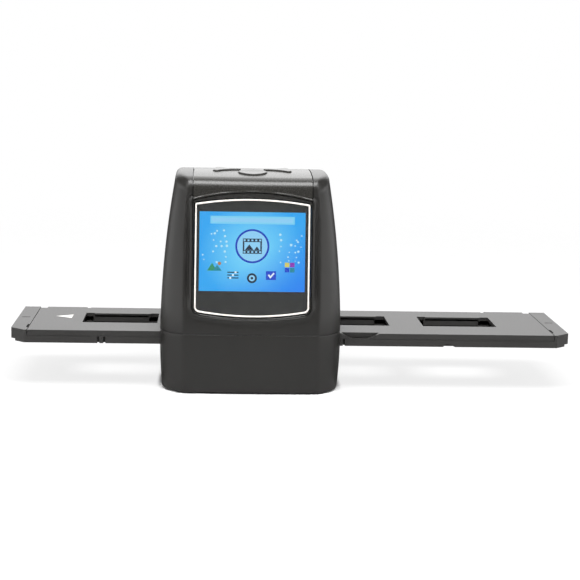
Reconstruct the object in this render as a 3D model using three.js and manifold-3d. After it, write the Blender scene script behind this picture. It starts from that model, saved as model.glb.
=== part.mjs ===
// A stand-alone scanner for 35 mm slides and negatives: a small upright housing with a colour
// display on its leaning front, three buttons on its domed top, and a long slide holder that
// passes sideways through a tunnel in its base. Millimetres, +Z up, +Y to the back.
// The origin is on the floor, under the middle of the slide holder.

import * as THREE from 'three';
import { mergeVertices } from 'three/addons/utils/BufferGeometryUtils.js';
import Module from 'manifold-3d';

const wasm = await Module();
wasm.setup();

// Housing as a whole
const HOUSING_WIDTH = 85;
const HOUSING_DEPTH = 87;
const HOUSING_HEIGHT = 101.5;
const WIDEST_LEVEL = 24;
const FOOT_STAND = 1.2;
const UNDER_DRAW = 2.4;
const FRONT_BAND_MARGIN = 4.8;
const CHEEK_TOP_WIDTH = 4.2;
const BACK_BAND_WIDTH = 56;
const CREASE_DRAW = 2.4;
const CREASE_DRAW_START = 55;
const CORNER_DEPTH = 16;
const CREASE_TURN = THREE.MathUtils.degToRad(35);
const FACE_BOW = 0.6;
const FRONT_LEAN = THREE.MathUtils.degToRad(9);
const LEAN_START = 28;
const LEAN_FULL = 40;
const FRONT_TUCK = 0.8;
const BACK_DRAW = 5;
const DOME_PEAK_INSET = 37.5;
const DOME_DROP = 7.3;
const CROWN_ROUND = 3.2;
const CROWN_FRONT_ROUND = 5.6;
const UNDER_ROUND = 1;
const PARTING_LEVEL = 28;

// Clearances and the overrun of every cut
const GAP = 0.3;
const OVERRUN = 4;

// Walls of the mouldings
const BASE_WALL = 2.4;
const SHELL_WALL = 2.5;
const COVER_WALL = 1.2;

// Slide holder
const HOLDER_LENGTH = 265;
const HOLDER_ROOM = 25;
const HOLDER_RIM = 5.7;
const HOLDER_THICKNESS = 6.05;
const HOLDER_UNDERSIDE = 20.95;
const HOLDER_MIDDLE_Y = 1.3;
const HOLDER_OFFSET = 20;
const HOLDER_CHAMFER_X = 6.65;
const HOLDER_CHAMFER_Y = 6;
const HOLDER_TRAY = 3.2;
const END_CAP_LENGTH = 7.8;
const END_STEP = 1;
const END_INSET = 2;
const SLIDE_PITCH = 52.4;
const SLIDE_MIDDLE_PITCH = 60.1;
const SLIDE_SIZE = 50.6;
const SLIDE_POCKET = 1.2;
const SLIDE_COVER_POCKET = 0.8;
const WINDOW_LENGTH = 36;
const WINDOW_WIDTH = 24;
const WINDOW_MIDDLE_Y = 3.1;
const WINDOW_RIB = 27.6;
const WINDOW_CORNER_DEPTH = 1.2;

// Edges and fittings of the slide holder
const HINGE_PIN_RADIUS = 0.8;
const HINGE_PIN_LENGTH = 10;
const HINGE_INSET = 1.9;
const HINGE_LEVEL = 4.6;
const HINGE_NOTCH_LENGTH = 3.3;
const HINGE_NOTCH_DEPTH = 3.1;
const INDEX_NOTCH_X = 100.3;
const INDEX_NOTCH_WIDTH = 1.6;
const INDEX_NOTCH_DEPTH = 1.4;
const LATCH_X = -89.9;
const LATCH_WIDTH = 2.8;
const LATCH_SLOT = 1;
const LATCH_DEPTH = 2.4;
const SPARE_SLOT_X = 24.2;
const THUMB_X = 31.9;
const THUMB_WIDTH = 17.9;
const THUMB_DROP = 3;
const THUMB_DEPTH = 2.6;
const KEY_NOTCH_X = 74.3;
const KEY_NOTCH_WIDTH = 5.7;
const KEY_NOTCH_HEIGHT = 2;
const RABBET_WIDTH = 1;
const RABBET_DEPTH = 0.6;
const GRIP_LENGTH = 4;
const GRIP_WIDTH = 1;
const GRIP_DEPTH = 0.5;
const GRIP_INSET = 3.8;
const GRIP_Y = 2;
const DETENT_DEPTH = 0.7;
const DETENT_WIDTH = 2.4;
const DETENT_INSET = 5.2;
const DETENT_GROOVE_LENGTH = 5;

// Guide tray, film gate and what lies under them
const TRAY_FLOOR = 2;
const TRAY_WALL = 1.5;
const TRAY_ROOM = 17;
const LEDGE_INSET = 7.5;
const TUNNEL_SIDE_GAP = 0.6;
const TUNNEL_UNDER_GAP = 0.5;
const TUNNEL_TOP_GAP = 0.6;
const GATE_THICKNESS = 1.8;
const GATE_LENGTH = 62;
const GATE_PILLAR_RADIUS = 2;
const GATE_MARGIN = 1;
const LIGHT_BOX_MARGIN = 3;
const LIGHT_BOX_WALL = 1.5;
const LIGHT_BOX_LIFT = 1.6;
const DIFFUSER_THICKNESS = 2;
const LED_BOARD_THICKNESS = 1.2;
const LED_SIZE = 3;
const LED_HEIGHT = 0.9;
const LED_SPACING = 11;
const SPRING_THICKNESS = 0.4;
const SPRING_WIDTH = 5;
const SPRING_LENGTH = 22;

// Display, measured on the leaning face
const RING_WIDTH = 53.4;
const RING_DROP = 5.5;
const RING_RAISE = 10.7;
const RING_RISE = 2.4;
const RING_LINE = 1;
const RING_THICKNESS = 0.6;
const RING_LOW_ROUND = 2.5;
const RING_HIGH_ROUND = 1;
const RIM_MARGIN = 0.9;
const RIM_LOW_ROUND = 4;
const RIM_SINK = 0.1;
const BEAD_WIDTH = 0.9;
const BEAD_PROUD = 0.4;
const CHANNEL_WIDTH = 1.6;
const CHANNEL_DEPTH = 0.5;
const BEZEL_DEPTH = 6.2;
const BEZEL_FLANGE = 1.6;
const WINDOW_PLATE = 1.2;
const WINDOW_SINK = 0.6;
const PANEL_SIDE_ROOM = 0.4;
const PANEL_ROOM = 8.2;
const PANEL_THICKNESS = 1.2;
const PANEL_RAISE = 2.9;
const BACKLIGHT_THICKNESS = 2.6;

// Top cover and its buttons
const COVER_DROP = 7.7;
const COVER_EDGE_RISE = 3.7;
const COVER_INSET = 9.5;
const BUTTON_PROUD = 0.7;
const OK_RADIUS = 6.7;
const OK_INSET = 14.2;
const WING_TIP_X = 5.6;
const WING_SIDE_MARGIN = 9.1;
const WING_TIP_FRONT = 8.2;
const WING_TIP_BACK = 9.8;
const WING_FRONT = 2.6;
const WING_BACK = 17.2;
const WING_ROUND = 2;
const BUTTON_SKIRT = 4.4;
const FLANGE_MARGIN = 1.2;
const FLANGE_THICKNESS = 1.2;
const POST_RADIUS = 1.6;
const SWITCH_SIZE = 6;
const SWITCH_HEIGHT = 3.4;
const SWITCH_BORE = 2.2;
const STEM_RADIUS = 1.6;
const STEM_PROUD = 0.9;
const STEM_SUNK = 1.8;
const BUTTON_TRAVEL_ROOM = 1;
const BUTTON_BOARD_DROP = 12.3;
const BUTTON_BOARD_MARGIN = 2.5;
const BUTTON_BOARD_WIDTH = 27;
const BUTTON_BOARD_CLEARANCE = 7.5;
const BOARD_THICKNESS = 1.6;

// Optics above the film gate
const SENSOR_CLEARANCE = 2.1;
const CHIMNEY_WALL = 1.5;
const CHIMNEY_TOP_SIZE = 20;
const CHIMNEY_FOOT_MARGIN = 1.6;
const LENS_RADIUS = 6.5;
const LENS_LENGTH = 11;
const LENS_BORE_RADIUS = 4.6;
const LENS_MOUTH_RADIUS = 5.6;
const GLASS_RADIUS = 4.2;
const GLASS_THICKNESS = 2.4;
const GLASS_EDGE = 1;
const SEAT_THICKNESS = 1.2;
const SENSOR_BOARD_SIZE = 26;
const CHIP_SIZE = 9;
const CHIP_HEIGHT = 1;

// Main board and its sockets
const MAIN_BOARD_LEVEL = 36;
const MAIN_BOARD_WIDTH = 58;
const MAIN_BOARD_REACH = 12.1;
const MAIN_BOARD_INSET = 4.2;
const MAIN_BOARD_HOLE_MARGIN = 1.2;
const SOCKET_SINK = 0.7;
const USB_X = -22;
const USB_WIDTH = 7.8;
const USB_HEIGHT = 3.9;
const USB_DEPTH = 9.2;
const USB_TAPER = 1.3;
const JACK_X = -10;
const JACK_WIDTH = 6.4;
const JACK_HEIGHT = 5;
const JACK_DEPTH = 12;
const JACK_BORE_RADIUS = 1.5;
const CARD_X = 12;
const CARD_WIDTH = 27;
const CARD_HEIGHT = 3.4;
const CARD_CLEARANCE = 3.3;
const CARD_SLOT_WIDTH = 24.6;
const CARD_SLOT_HEIGHT = 2.3;
const CARD_END_WALL = 3.6;
const SOCKET_WALL = 0.5;
const PLASTIC_TONGUE = 1;
const CABLE_WIDTH = 18;
const CABLE_THICKNESS = 0.4;

// Feet, screws and their bosses
const FOOT_RADIUS = 4.7;
const FOOT_RECESS = 0.8;
const FOOT_INSET = 14.5;
const SCREW_SIDE_INSET = 18.5;
const SCREW_FRONT_INSET = 6.9;
const SCREW_BACK_INSET = 5.7;
const SCREW_HEAD_RADIUS = 2.1;
const SCREW_HEAD_HEIGHT = 1.5;
const SCREW_SHANK_RADIUS = 1.1;
const SCREW_SINK = 3;
const BOSS_RADIUS = 2.7;
const BOSS_HOLE_RADIUS = 1.4;
const SHELL_BOSS_HEIGHT = 4.6;

// Facets, fine on the surfaces that show and coarse on those inside
const FINE = { face: 4, corner: 6, side: 4, wall: 10, crown: 3, under: 2, cap: 3 };
const COARSE = { face: 2, corner: 3, side: 2, wall: 5, crown: 2, under: 1, cap: 2 };
const CURVE_STEPS = 6;
const ROUND_SIDES = 24;
const SMALL_SIDES = 12;
const BROW_PASSES = 3;

// Shares that shape corner curves and the screw's head
const PULL_SHARE = 0.45;
const BACK_PULL_SHARE = 0.55;
const LEAST_ROUND_SHARE = 0.2;
const SCREW_CROWN_SHARE = 0.8;

// Sizes and places that follow from those above: the holder fills the housing's depth, the
// display stands between the base and the cover, and the buttons go with the front
const FRONT_BAND_WIDTH = RING_WIDTH + 2 * FRONT_BAND_MARGIN;
const HOUSING_TOP_WIDTH = FRONT_BAND_WIDTH + 2 * CHEEK_TOP_WIDTH;
const HOUSING_UNDER_WIDTH = HOUSING_WIDTH - UNDER_DRAW;
const FRONT_Y = -HOUSING_DEPTH / 2;
const BACK_Y = HOUSING_DEPTH / 2;
const DOME_PEAK = FRONT_Y + DOME_PEAK_INSET;
const HOLDER_WIDTH = HOUSING_DEPTH - HOLDER_ROOM;
const HOLDER_TOP = HOLDER_UNDERSIDE + HOLDER_THICKNESS;
const POCKET_WIDTH = HOLDER_WIDTH - 2 * HOLDER_RIM;
const DETENT_Y = HOLDER_MIDDLE_Y - HOLDER_WIDTH / 2 + DETENT_INSET;
const TRAY_LENGTH = HOUSING_WIDTH - TRAY_ROOM;
const TRAY_TOP = HOLDER_UNDERSIDE - TUNNEL_UNDER_GAP;
const GATE_UNDERSIDE = HOLDER_TOP + TUNNEL_TOP_GAP;
const GATE_TOP = GATE_UNDERSIDE + GATE_THICKNESS;

const COVER_WIDTH = RING_WIDTH + 2 * RIM_MARGIN;
const COVER_EDGE_LEVEL = HOUSING_HEIGHT - COVER_DROP;
const COVER_BACK = BACK_Y - COVER_INSET;
const RING_LOW_LEVEL = PARTING_LEVEL + RING_RAISE;
const RING_HIGH_LEVEL = COVER_EDGE_LEVEL - RING_DROP;
const RING_HEIGHT = (RING_HIGH_LEVEL - RING_LOW_LEVEL) / Math.cos(FRONT_LEAN);
const DISPLAY_LEVEL = (RING_LOW_LEVEL + RING_HIGH_LEVEL) / 2;
const PANEL_WIDTH = RING_WIDTH - PANEL_SIDE_ROOM;
const PANEL_HEIGHT = RING_HEIGHT - PANEL_ROOM;

const OK_Y = frontAt(HOUSING_HEIGHT) + OK_INSET;
const WING_OUTER_X = COVER_WIDTH / 2 - WING_SIDE_MARGIN;
const BUTTON_BOARD_LEVEL = HOUSING_HEIGHT - BUTTON_BOARD_DROP;
const BUTTON_BOARD_FRONT = frontAt(BUTTON_BOARD_LEVEL) + BUTTON_BOARD_CLEARANCE;
const CHIMNEY_FOOT = GATE_TOP + GAP;
const CHIMNEY_FOOT_X = WINDOW_LENGTH / 2 + CHIMNEY_FOOT_MARGIN + CHIMNEY_WALL;
const CHIMNEY_FOOT_Y = WINDOW_WIDTH / 2 + CHIMNEY_FOOT_MARGIN + CHIMNEY_WALL;
const SENSOR_BOARD_LEVEL = BUTTON_BOARD_LEVEL - SENSOR_CLEARANCE - CHIP_HEIGHT - BOARD_THICKNESS;
const MAIN_BOARD_FRONT = WINDOW_MIDDLE_Y - WINDOW_WIDTH / 2 - MAIN_BOARD_REACH;
const MAIN_BOARD_BACK = BACK_Y - MAIN_BOARD_INSET;

// Solids from three's geometries, and back again

function solid(geometry) {
  const bare = geometry.index ? geometry.toNonIndexed() : geometry.clone();
  bare.deleteAttribute('normal');
  bare.deleteAttribute('uv');
  const merged = mergeVertices(bare);
  return new wasm.Manifold(new wasm.Mesh({
    numProp: 3,
    vertProperties: new Float32Array(merged.attributes.position.array),
    triVerts: new Uint32Array(merged.index.array),
  }));
}

function geometryOf(shape) {
  const mesh = shape.getMesh();
  const geometry = new THREE.BufferGeometry();
  geometry.setAttribute('position', new THREE.BufferAttribute(new Float32Array(mesh.vertProperties), 3));
  geometry.setIndex(new THREE.BufferAttribute(new Uint32Array(mesh.triVerts), 1));
  const faceted = geometry.toNonIndexed();
  faceted.computeVertexNormals();
  return faceted;
}

function block(low, high) {
  const size = new THREE.Vector3().subVectors(high, low);
  const middle = new THREE.Vector3().addVectors(low, high).multiplyScalar(0.5);
  return solid(new THREE.BoxGeometry(size.x, size.y, size.z).translate(middle.x, middle.y, middle.z));
}

function boxAt(x0, x1, y0, y1, z0, z1) {
  return block(new THREE.Vector3(x0, y0, z0), new THREE.Vector3(x1, y1, z1));
}

function rod(radius, x, y, low, high, sides = SMALL_SIDES) {
  const cylinder = new THREE.CylinderGeometry(radius, radius, high - low, sides);
  return solid(cylinder.rotateX(Math.PI / 2).translate(x, y, (low + high) / 2));
}

function rodAlongX(radius, y, z, low, high) {
  const cylinder = new THREE.CylinderGeometry(radius, radius, high - low, SMALL_SIDES);
  return solid(cylinder.rotateZ(Math.PI / 2).translate((low + high) / 2, y, z));
}

function rodAlongY(radius, x, z, low, high, sides = SMALL_SIDES) {
  const cylinder = new THREE.CylinderGeometry(radius, radius, high - low, sides);
  return solid(cylinder.translate(x, (low + high) / 2, z));
}

function upright(outline, low, high, curveSegments = CURVE_STEPS) {
  const options = { depth: high - low, bevelEnabled: false, curveSegments };
  return new THREE.ExtrudeGeometry(outline, options).translate(0, 0, low);
}

function acrossY(outline, front, back, curveSegments = CURVE_STEPS) {
  const options = { depth: back - front, bevelEnabled: false, curveSegments };
  return new THREE.ExtrudeGeometry(outline, options).rotateX(Math.PI / 2).translate(0, back, 0);
}

function turned(profile, sides = ROUND_SIDES) {
  return new THREE.LatheGeometry(profile.map(([r, z]) => new THREE.Vector2(r, z)), sides)
    .rotateX(Math.PI / 2);
}

function polygon(points) {
  return new THREE.Shape(points.map(([x, y]) => new THREE.Vector2(x, y)));
}

function rectangle(width, height, x = 0, y = 0) {
  const left = x - width / 2;
  const low = y - height / 2;
  return polygon([[left, low], [left + width, low], [left + width, low + height], [left, low + height]]);
}

// Closed skin over a stack of rings with the same number of points each
function skin(rings) {
  const around = rings[0].length;
  const positions = rings.flat().flatMap((point) => [point.x, point.y, point.z]);
  const index = [];
  for (let level = 0; level < rings.length - 1; level++) {
    for (let step = 0; step < around; step++) {
      const here = level * around + step;
      const next = level * around + (step + 1) % around;
      index.push(here, next, next + around, here, next + around, here + around);
    }
  }
  const ends = [[rings[0], 0, true], [rings.at(-1), (rings.length - 1) * around, false]];
  for (const [ring, start, under] of ends) {
    const centre = ring.reduce((sum, point) => sum.add(point), new THREE.Vector3()).divideScalar(around);
    const hub = positions.length / 3;
    positions.push(centre.x, centre.y, centre.z);
    for (let step = 0; step < around; step++) {
      const here = start + step;
      const next = start + (step + 1) % around;
      if (under) index.push(hub, next, here);
      else index.push(hub, here, next);
    }
  }
  const geometry = new THREE.BufferGeometry();
  geometry.setAttribute('position', new THREE.Float32BufferAttribute(positions, 3));
  geometry.setIndex(index);
  return geometry;
}

// The housing's form: width, front, back and top as curves of the height or depth

function halfWidthAt(level) {
  const above = level > WIDEST_LEVEL;
  const reach = above ? HOUSING_HEIGHT - WIDEST_LEVEL : WIDEST_LEVEL;
  const narrow = above ? HOUSING_TOP_WIDTH : HOUSING_UNDER_WIDTH;
  const away = (level - WIDEST_LEVEL) / reach;
  return (HOUSING_WIDTH - (HOUSING_WIDTH - narrow) * away ** 2) / 2;
}

function frontAt(level) {
  const crease = FACE_BOW - HOUSING_DEPTH / 2;
  const slope = Math.tan(FRONT_LEAN);
  if (level > LEAN_FULL) return crease + slope * (level - (LEAN_START + LEAN_FULL) / 2);
  if (level > LEAN_START) return crease + slope * (level - LEAN_START) ** 2 / (LEAN_FULL - LEAN_START) / 2;
  const under = Math.max(0, WIDEST_LEVEL - level) / WIDEST_LEVEL;
  return crease + FRONT_TUCK * under ** 2;
}

function backAt(level) {
  const away = (level - WIDEST_LEVEL) / (HOUSING_HEIGHT - WIDEST_LEVEL);
  return HOUSING_DEPTH / 2 - FACE_BOW - BACK_DRAW * away ** 2;
}

function topAt(y) {
  return HOUSING_HEIGHT - DOME_DROP * ((y - DOME_PEAK) / (HOUSING_DEPTH / 2 - DOME_PEAK)) ** 2;
}

function bowed(x, halfBand) {
  return FACE_BOW * (1 - (x / halfBand) ** 2);
}

function creaseAt(level) {
  const up = Math.max(0, level - CREASE_DRAW_START) / (HOUSING_HEIGHT - CREASE_DRAW_START);
  return FRONT_BAND_WIDTH / 2 - CREASE_DRAW * up ** 2;
}

// Plan section at one level: a bowed front with a crease at each end of it, cheeks that curve
// into the sides, and a softer back
function section(level, inset, steps, tuck = 0) {
  const side = halfWidthAt(level) - inset;
  const front = frontAt(level) + inset + tuck;
  const back = backAt(level) - inset;
  const crease = creaseAt(level);
  const turn = BACK_BAND_WIDTH / 2;
  const half = [];
  for (let step = 0; step < steps.face; step++) {
    const x = crease * step / steps.face;
    half.push(new THREE.Vector2(x, front - bowed(x, crease)));
  }
  const cheekPull = (side - crease) * PULL_SHARE;
  const cheek = new THREE.CubicBezierCurve(
    new THREE.Vector2(crease, front),
    new THREE.Vector2(crease + cheekPull, front + cheekPull * Math.tan(CREASE_TURN)),
    new THREE.Vector2(side, front + CORNER_DEPTH * PULL_SHARE),
    new THREE.Vector2(side, front + CORNER_DEPTH),
  );
  half.push(...cheek.getPoints(steps.corner));
  for (let step = 1; step < steps.side; step++) {
    const y = THREE.MathUtils.lerp(front + CORNER_DEPTH, back - CORNER_DEPTH, step / steps.side);
    half.push(new THREE.Vector2(side, y));
  }
  const rear = new THREE.CubicBezierCurve(
    new THREE.Vector2(side, back - CORNER_DEPTH),
    new THREE.Vector2(side, back - CORNER_DEPTH * PULL_SHARE),
    new THREE.Vector2(turn + (side - turn) * BACK_PULL_SHARE, back),
    new THREE.Vector2(turn, back),
  );
  half.push(...rear.getPoints(steps.corner));
  for (let step = 1; step <= steps.face; step++) {
    const x = turn * (1 - step / steps.face);
    half.push(new THREE.Vector2(x, back + bowed(x, turn)));
  }
  const mirrored = half.slice(1, -1).reverse().map((point) => new THREE.Vector2(-point.x, point.y));
  return [...half, ...mirrored];
}

// A ring of section points, each taken at a level of its own
function ringAt(levels, inset, steps, tuck = 0) {
  return levels.map((level, index) => {
    const point = section(level, inset, steps, tuck)[index];
    return new THREE.Vector3(point.x, point.y, level);
  });
}

// How much larger the crown's round is at each point of a ring: fully so along the front, and
// not at all beside and behind it
function crownExtras(inset, steps) {
  const front = frontAt(HOUSING_HEIGHT) + inset;
  return section(HOUSING_HEIGHT, inset, steps).map((point) => {
    const away = THREE.MathUtils.clamp((point.y - front) / CORNER_DEPTH, 0, 1);
    return (CROWN_FRONT_ROUND - CROWN_ROUND) * (1 + Math.cos(Math.PI * away)) / 2;
  });
}

// Levels at which the wall meets the crown's round, found in a few passes, since the crown
// follows the dome and the dome's height depends on where the wall ends
function browLevels(rounds, inset, steps) {
  let levels = rounds.map(() => HOUSING_HEIGHT);
  for (let pass = 0; pass < BROW_PASSES; pass++) {
    levels = ringAt(levels, inset, steps).map((point, index) => topAt(point.y) - inset - rounds[index]);
  }
  return levels;
}

// The housing as one solid, set inwards all over by the inset
function housingForm(inset, steps = COARSE) {
  const crownRound = Math.max(CROWN_ROUND - inset, CROWN_ROUND * LEAST_ROUND_SHARE);
  const underRound = Math.max(UNDER_ROUND - inset, UNDER_ROUND * LEAST_ROUND_SHARE);
  const rounds = crownExtras(inset, steps).map((extra) => crownRound + extra);
  const brow = browLevels(rounds, inset, steps);
  const low = FOOT_STAND + inset;
  const rings = [];
  for (let step = 0; step < steps.under; step++) {
    const angle = Math.PI / 2 * step / steps.under;
    const ring = section(low, inset + underRound * (1 - Math.sin(angle)), steps);
    const level = low + underRound * (1 - Math.cos(angle));
    rings.push(ring.map((point) => new THREE.Vector3(point.x, point.y, level)));
  }
  for (let step = 0; step <= steps.wall; step++) {
    const levels = brow.map((level) => THREE.MathUtils.lerp(low + underRound, level, step / steps.wall));
    rings.push(ringAt(levels, inset, steps));
  }
  for (let step = 1; step <= steps.crown; step++) {
    const angle = Math.PI / 2 * step / steps.crown;
    const turn = 1 - Math.cos(angle);
    const tuck = (CROWN_FRONT_ROUND - CROWN_ROUND) * turn;
    rings.push(ringAt(brow, inset + crownRound * turn, steps, tuck).map((point, index) => {
      const height = topAt(point.y) - inset - rounds[index] * (1 - Math.sin(angle));
      return new THREE.Vector3(point.x, point.y, height);
    }));
  }
  const edge = rings.at(-1);
  const ends = edge.map((point) => point.y);
  const middle = (Math.min(...ends) + Math.max(...ends)) / 2;
  for (let step = 1; step < steps.cap; step++) {
    const spread = 1 - step / steps.cap;
    rings.push(edge.map((point) => {
      const y = middle + (point.y - middle) * spread;
      return new THREE.Vector3(point.x * spread, y, topAt(y) - inset);
    }));
  }
  return solid(skin(rings));
}

const farOut = HOUSING_DEPTH + HOUSING_HEIGHT;

function above(level) {
  return boxAt(-farOut, farOut, -farOut, farOut, level, farOut);
}

function below(level) {
  return boxAt(-farOut, farOut, -farOut, farOut, -farOut, level);
}

// Outlines on the leaning face, in width and height from the middle of the display

function archedOutline(half, low, high, lowRise, highRise, lowRound, highRound) {
  const arc = (edge, rise, round) => edge + rise * (1 - ((half - round) / half) ** 2);
  const lowEnd = arc(low, -lowRise, lowRound);
  const highEnd = arc(high, highRise, highRound);
  const shape = new THREE.Shape();
  shape.moveTo(half - lowRound, lowEnd);
  shape.quadraticCurveTo(half, low, half, low + lowRound);
  shape.lineTo(half, high - highRound);
  shape.quadraticCurveTo(half, high, half - highRound, highEnd);
  shape.quadraticCurveTo(0, 2 * (high + highRise) - highEnd, highRound - half, highEnd);
  shape.quadraticCurveTo(-half, high, -half, high - highRound);
  shape.lineTo(-half, low + lowRound);
  shape.quadraticCurveTo(-half, low, lowRound - half, lowEnd);
  shape.quadraticCurveTo(0, 2 * (low - lowRise) - lowEnd, half - lowRound, lowEnd);
  return shape;
}

function ringOutline(shrink) {
  const half = RING_WIDTH / 2 - shrink;
  const edge = RING_HEIGHT / 2 - shrink;
  const lowRound = Math.max(RING_LOW_ROUND - shrink, RING_LOW_ROUND * LEAST_ROUND_SHARE);
  const highRound = Math.max(RING_HIGH_ROUND - shrink, RING_HIGH_ROUND * LEAST_ROUND_SHARE);
  return archedOutline(half, -edge, edge, RING_RISE, RING_RISE, lowRound, highRound);
}

function coverEdgeOnFace() {
  return (COVER_EDGE_LEVEL - COVER_EDGE_RISE - DISPLAY_LEVEL) / Math.cos(FRONT_LEAN);
}

function rimOutline(grow) {
  const half = RING_WIDTH / 2 + RIM_MARGIN + grow;
  const low = RING_HEIGHT / 2 + RIM_MARGIN + grow;
  const high = coverEdgeOnFace() - GAP + grow;
  return archedOutline(half, -low, high, RING_RISE, COVER_EDGE_RISE, RIM_LOW_ROUND, RING_HIGH_ROUND);
}

// Turns a solid that is drawn on the face to its place on the leaning front
function onFace(geometry) {
  return geometry.rotateX(-FRONT_LEAN).translate(0, frontAt(DISPLAY_LEVEL), DISPLAY_LEVEL);
}

// The housing's form as it lies for the display, which leans with the front
function formBehindDisplay(inset) {
  return housingForm(inset, FINE).translate(0, -frontAt(DISPLAY_LEVEL), -DISPLAY_LEVEL)
    .rotate(THREE.MathUtils.radToDeg(FRONT_LEAN), 0, 0);
}

function displayBezel() {
  const tube = solid(acrossY(rimOutline(0), -OVERRUN, BEZEL_DEPTH)).intersect(formBehindDisplay(RIM_SINK));
  const flange = solid(acrossY(rimOutline(BEZEL_FLANGE), SHELL_WALL + 2 * GAP, BEZEL_DEPTH));
  const roomy = solid(acrossY(ringOutline(-GAP), -2 * OVERRUN, BEZEL_DEPTH + OVERRUN));
  const belowCover = rectangle(farOut, farOut, 0, coverEdgeOnFace() + farOut / 2 - OVERRUN);
  const flangeCut = solid(acrossY(belowCover, SHELL_WALL, BEZEL_DEPTH + OVERRUN));
  return tube.add(flange.subtract(flangeCut)).subtract(roomy);
}

function displayRing() {
  const outer = solid(acrossY(ringOutline(0), WINDOW_SINK - GAP - RING_THICKNESS, WINDOW_SINK - GAP));
  return outer.subtract(solid(acrossY(ringOutline(RING_LINE), -OVERRUN, OVERRUN)));
}

function displayWindow() {
  return solid(acrossY(ringOutline(0), WINDOW_SINK, WINDOW_SINK + WINDOW_PLATE));
}

const panelFront = WINDOW_SINK + WINDOW_PLATE + GAP;
const backlightFront = panelFront + PANEL_THICKNESS + GAP;

function lcdPanel() {
  const outline = rectangle(PANEL_WIDTH, PANEL_HEIGHT, 0, PANEL_RAISE);
  return solid(acrossY(outline, panelFront, panelFront + PANEL_THICKNESS));
}

function lcdBacklight() {
  const outline = rectangle(PANEL_WIDTH, PANEL_HEIGHT, 0, PANEL_RAISE);
  return solid(acrossY(outline, backlightFront, backlightFront + BACKLIGHT_THICKNESS));
}

// Upper housing, base and top cover

function coverBand(grow, back) {
  const half = COVER_WIDTH / 2 + grow;
  const ends = COVER_EDGE_LEVEL - COVER_EDGE_RISE - grow;
  const shape = new THREE.Shape();
  shape.moveTo(-half, ends);
  shape.quadraticCurveTo(0, ends + 2 * COVER_EDGE_RISE, half, ends);
  shape.lineTo(half, farOut);
  shape.lineTo(-half, farOut);
  return solid(acrossY(shape, -farOut, back + grow, 2 * CURVE_STEPS));
}

// A wing: narrow at its tip beside the round button, deep at its outer end
function wingOutline(side) {
  const front = OK_Y + WING_FRONT;
  const back = OK_Y + WING_BACK;
  const tipFront = OK_Y + WING_TIP_FRONT;
  const tipBack = OK_Y + WING_TIP_BACK;
  const tip = side * WING_TIP_X;
  const outer = side * WING_OUTER_X;
  const round = side * WING_ROUND;
  const shape = new THREE.Shape();
  shape.moveTo(tip, tipFront);
  shape.quadraticCurveTo((tip + outer) / 2, tipFront, outer - round, front);
  shape.quadraticCurveTo(outer, front, outer, front + WING_ROUND);
  shape.lineTo(outer - round / 2, back - WING_ROUND);
  shape.quadraticCurveTo(outer - round / 2, back, outer - 2 * round, back);
  shape.quadraticCurveTo((tip + outer) / 2, tipBack, tip, tipBack);
  return shape;
}

// Outline moved outwards by an even distance
function grown(outline, distance) {
  const points = outline.getPoints(outline.curves.length > 1 ? CURVE_STEPS : 2 * CURVE_STEPS);
  if (points[0].distanceTo(points.at(-1)) < GAP * LEAST_ROUND_SHARE) points.pop();
  if (THREE.ShapeUtils.area(points) < 0) points.reverse();
  return new THREE.Shape(points.map((point, index) => {
    const before = point.clone().sub(points.at(index - 1)).normalize();
    const after = points[(index + 1) % points.length].clone().sub(point).normalize();
    const along = before.add(after).normalize();
    const square = Math.max(along.dot(after), PULL_SHARE);
    return new THREE.Vector2(point.x + along.y * distance / square, point.y - along.x * distance / square);
  }));
}

const buttonOutlines = {
  ok_button: new THREE.Shape().absarc(0, OK_Y, OK_RADIUS, 0, 2 * Math.PI),
  left_button: wingOutline(-1),
  right_button: wingOutline(1),
};

// Where each button's post and switch stand
const wingMiddleX = (WING_TIP_X + WING_OUTER_X * 2) / 3;
const wingMiddleY = OK_Y + (WING_FRONT + WING_BACK) / 2;
const postPlaces = {
  ok_button: [0, OK_Y],
  left_button: [-wingMiddleX, wingMiddleY],
  right_button: [wingMiddleX, wingMiddleY],
};

function buttonHoles(grow) {
  return Object.values(buttonOutlines)
    .map((outline) => solid(upright(grown(outline, grow), BUTTON_BOARD_LEVEL, farOut)))
    .reduce((all, one) => all.add(one));
}

const outerForm = housingForm(0, FINE);

// A ring around the display's opening, square to the leaning front
function aroundOpening(near, far) {
  const outer = solid(onFace(acrossY(rimOutline(far), -OVERRUN, SHELL_WALL / 2)));
  return outer.subtract(solid(onFace(acrossY(rimOutline(near), -2 * OVERRUN, OVERRUN))));
}

// The outer form with a bead around the display and a shallow channel outside the bead
function beadedForm() {
  const channelStart = GAP + BEAD_WIDTH;
  const channel = aroundOpening(channelStart, channelStart + CHANNEL_WIDTH);
  const bead = aroundOpening(0, channelStart).intersect(housingForm(-BEAD_PROUD, FINE));
  return outerForm.add(bead).subtract(channel.subtract(housingForm(CHANNEL_DEPTH, FINE)));
}

function topCover() {
  const skinOnly = outerForm.subtract(housingForm(COVER_WALL));
  return skinOnly.intersect(coverBand(0, COVER_BACK)).subtract(buttonHoles(GAP));
}

const screwX = HOUSING_WIDTH / 2 - SCREW_SIDE_INSET;
const screwPlaces = [FRONT_Y + SCREW_FRONT_INSET, BACK_Y - SCREW_BACK_INSET]
  .flatMap((y) => [[-screwX, y], [screwX, y]]);

// A boss with the web that ties it to the wall behind it
function shellBoss([x, y]) {
  const low = PARTING_LEVEL + GAP;
  const high = low + SHELL_BOSS_HEIGHT;
  const ends = [y, y < 0 ? FRONT_Y : BACK_Y].sort((a, b) => a - b);
  const web = boxAt(x - BOSS_HOLE_RADIUS, x + BOSS_HOLE_RADIUS, ...ends, low, high);
  return rod(BOSS_RADIUS, x, y, low, high).add(web);
}

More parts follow.
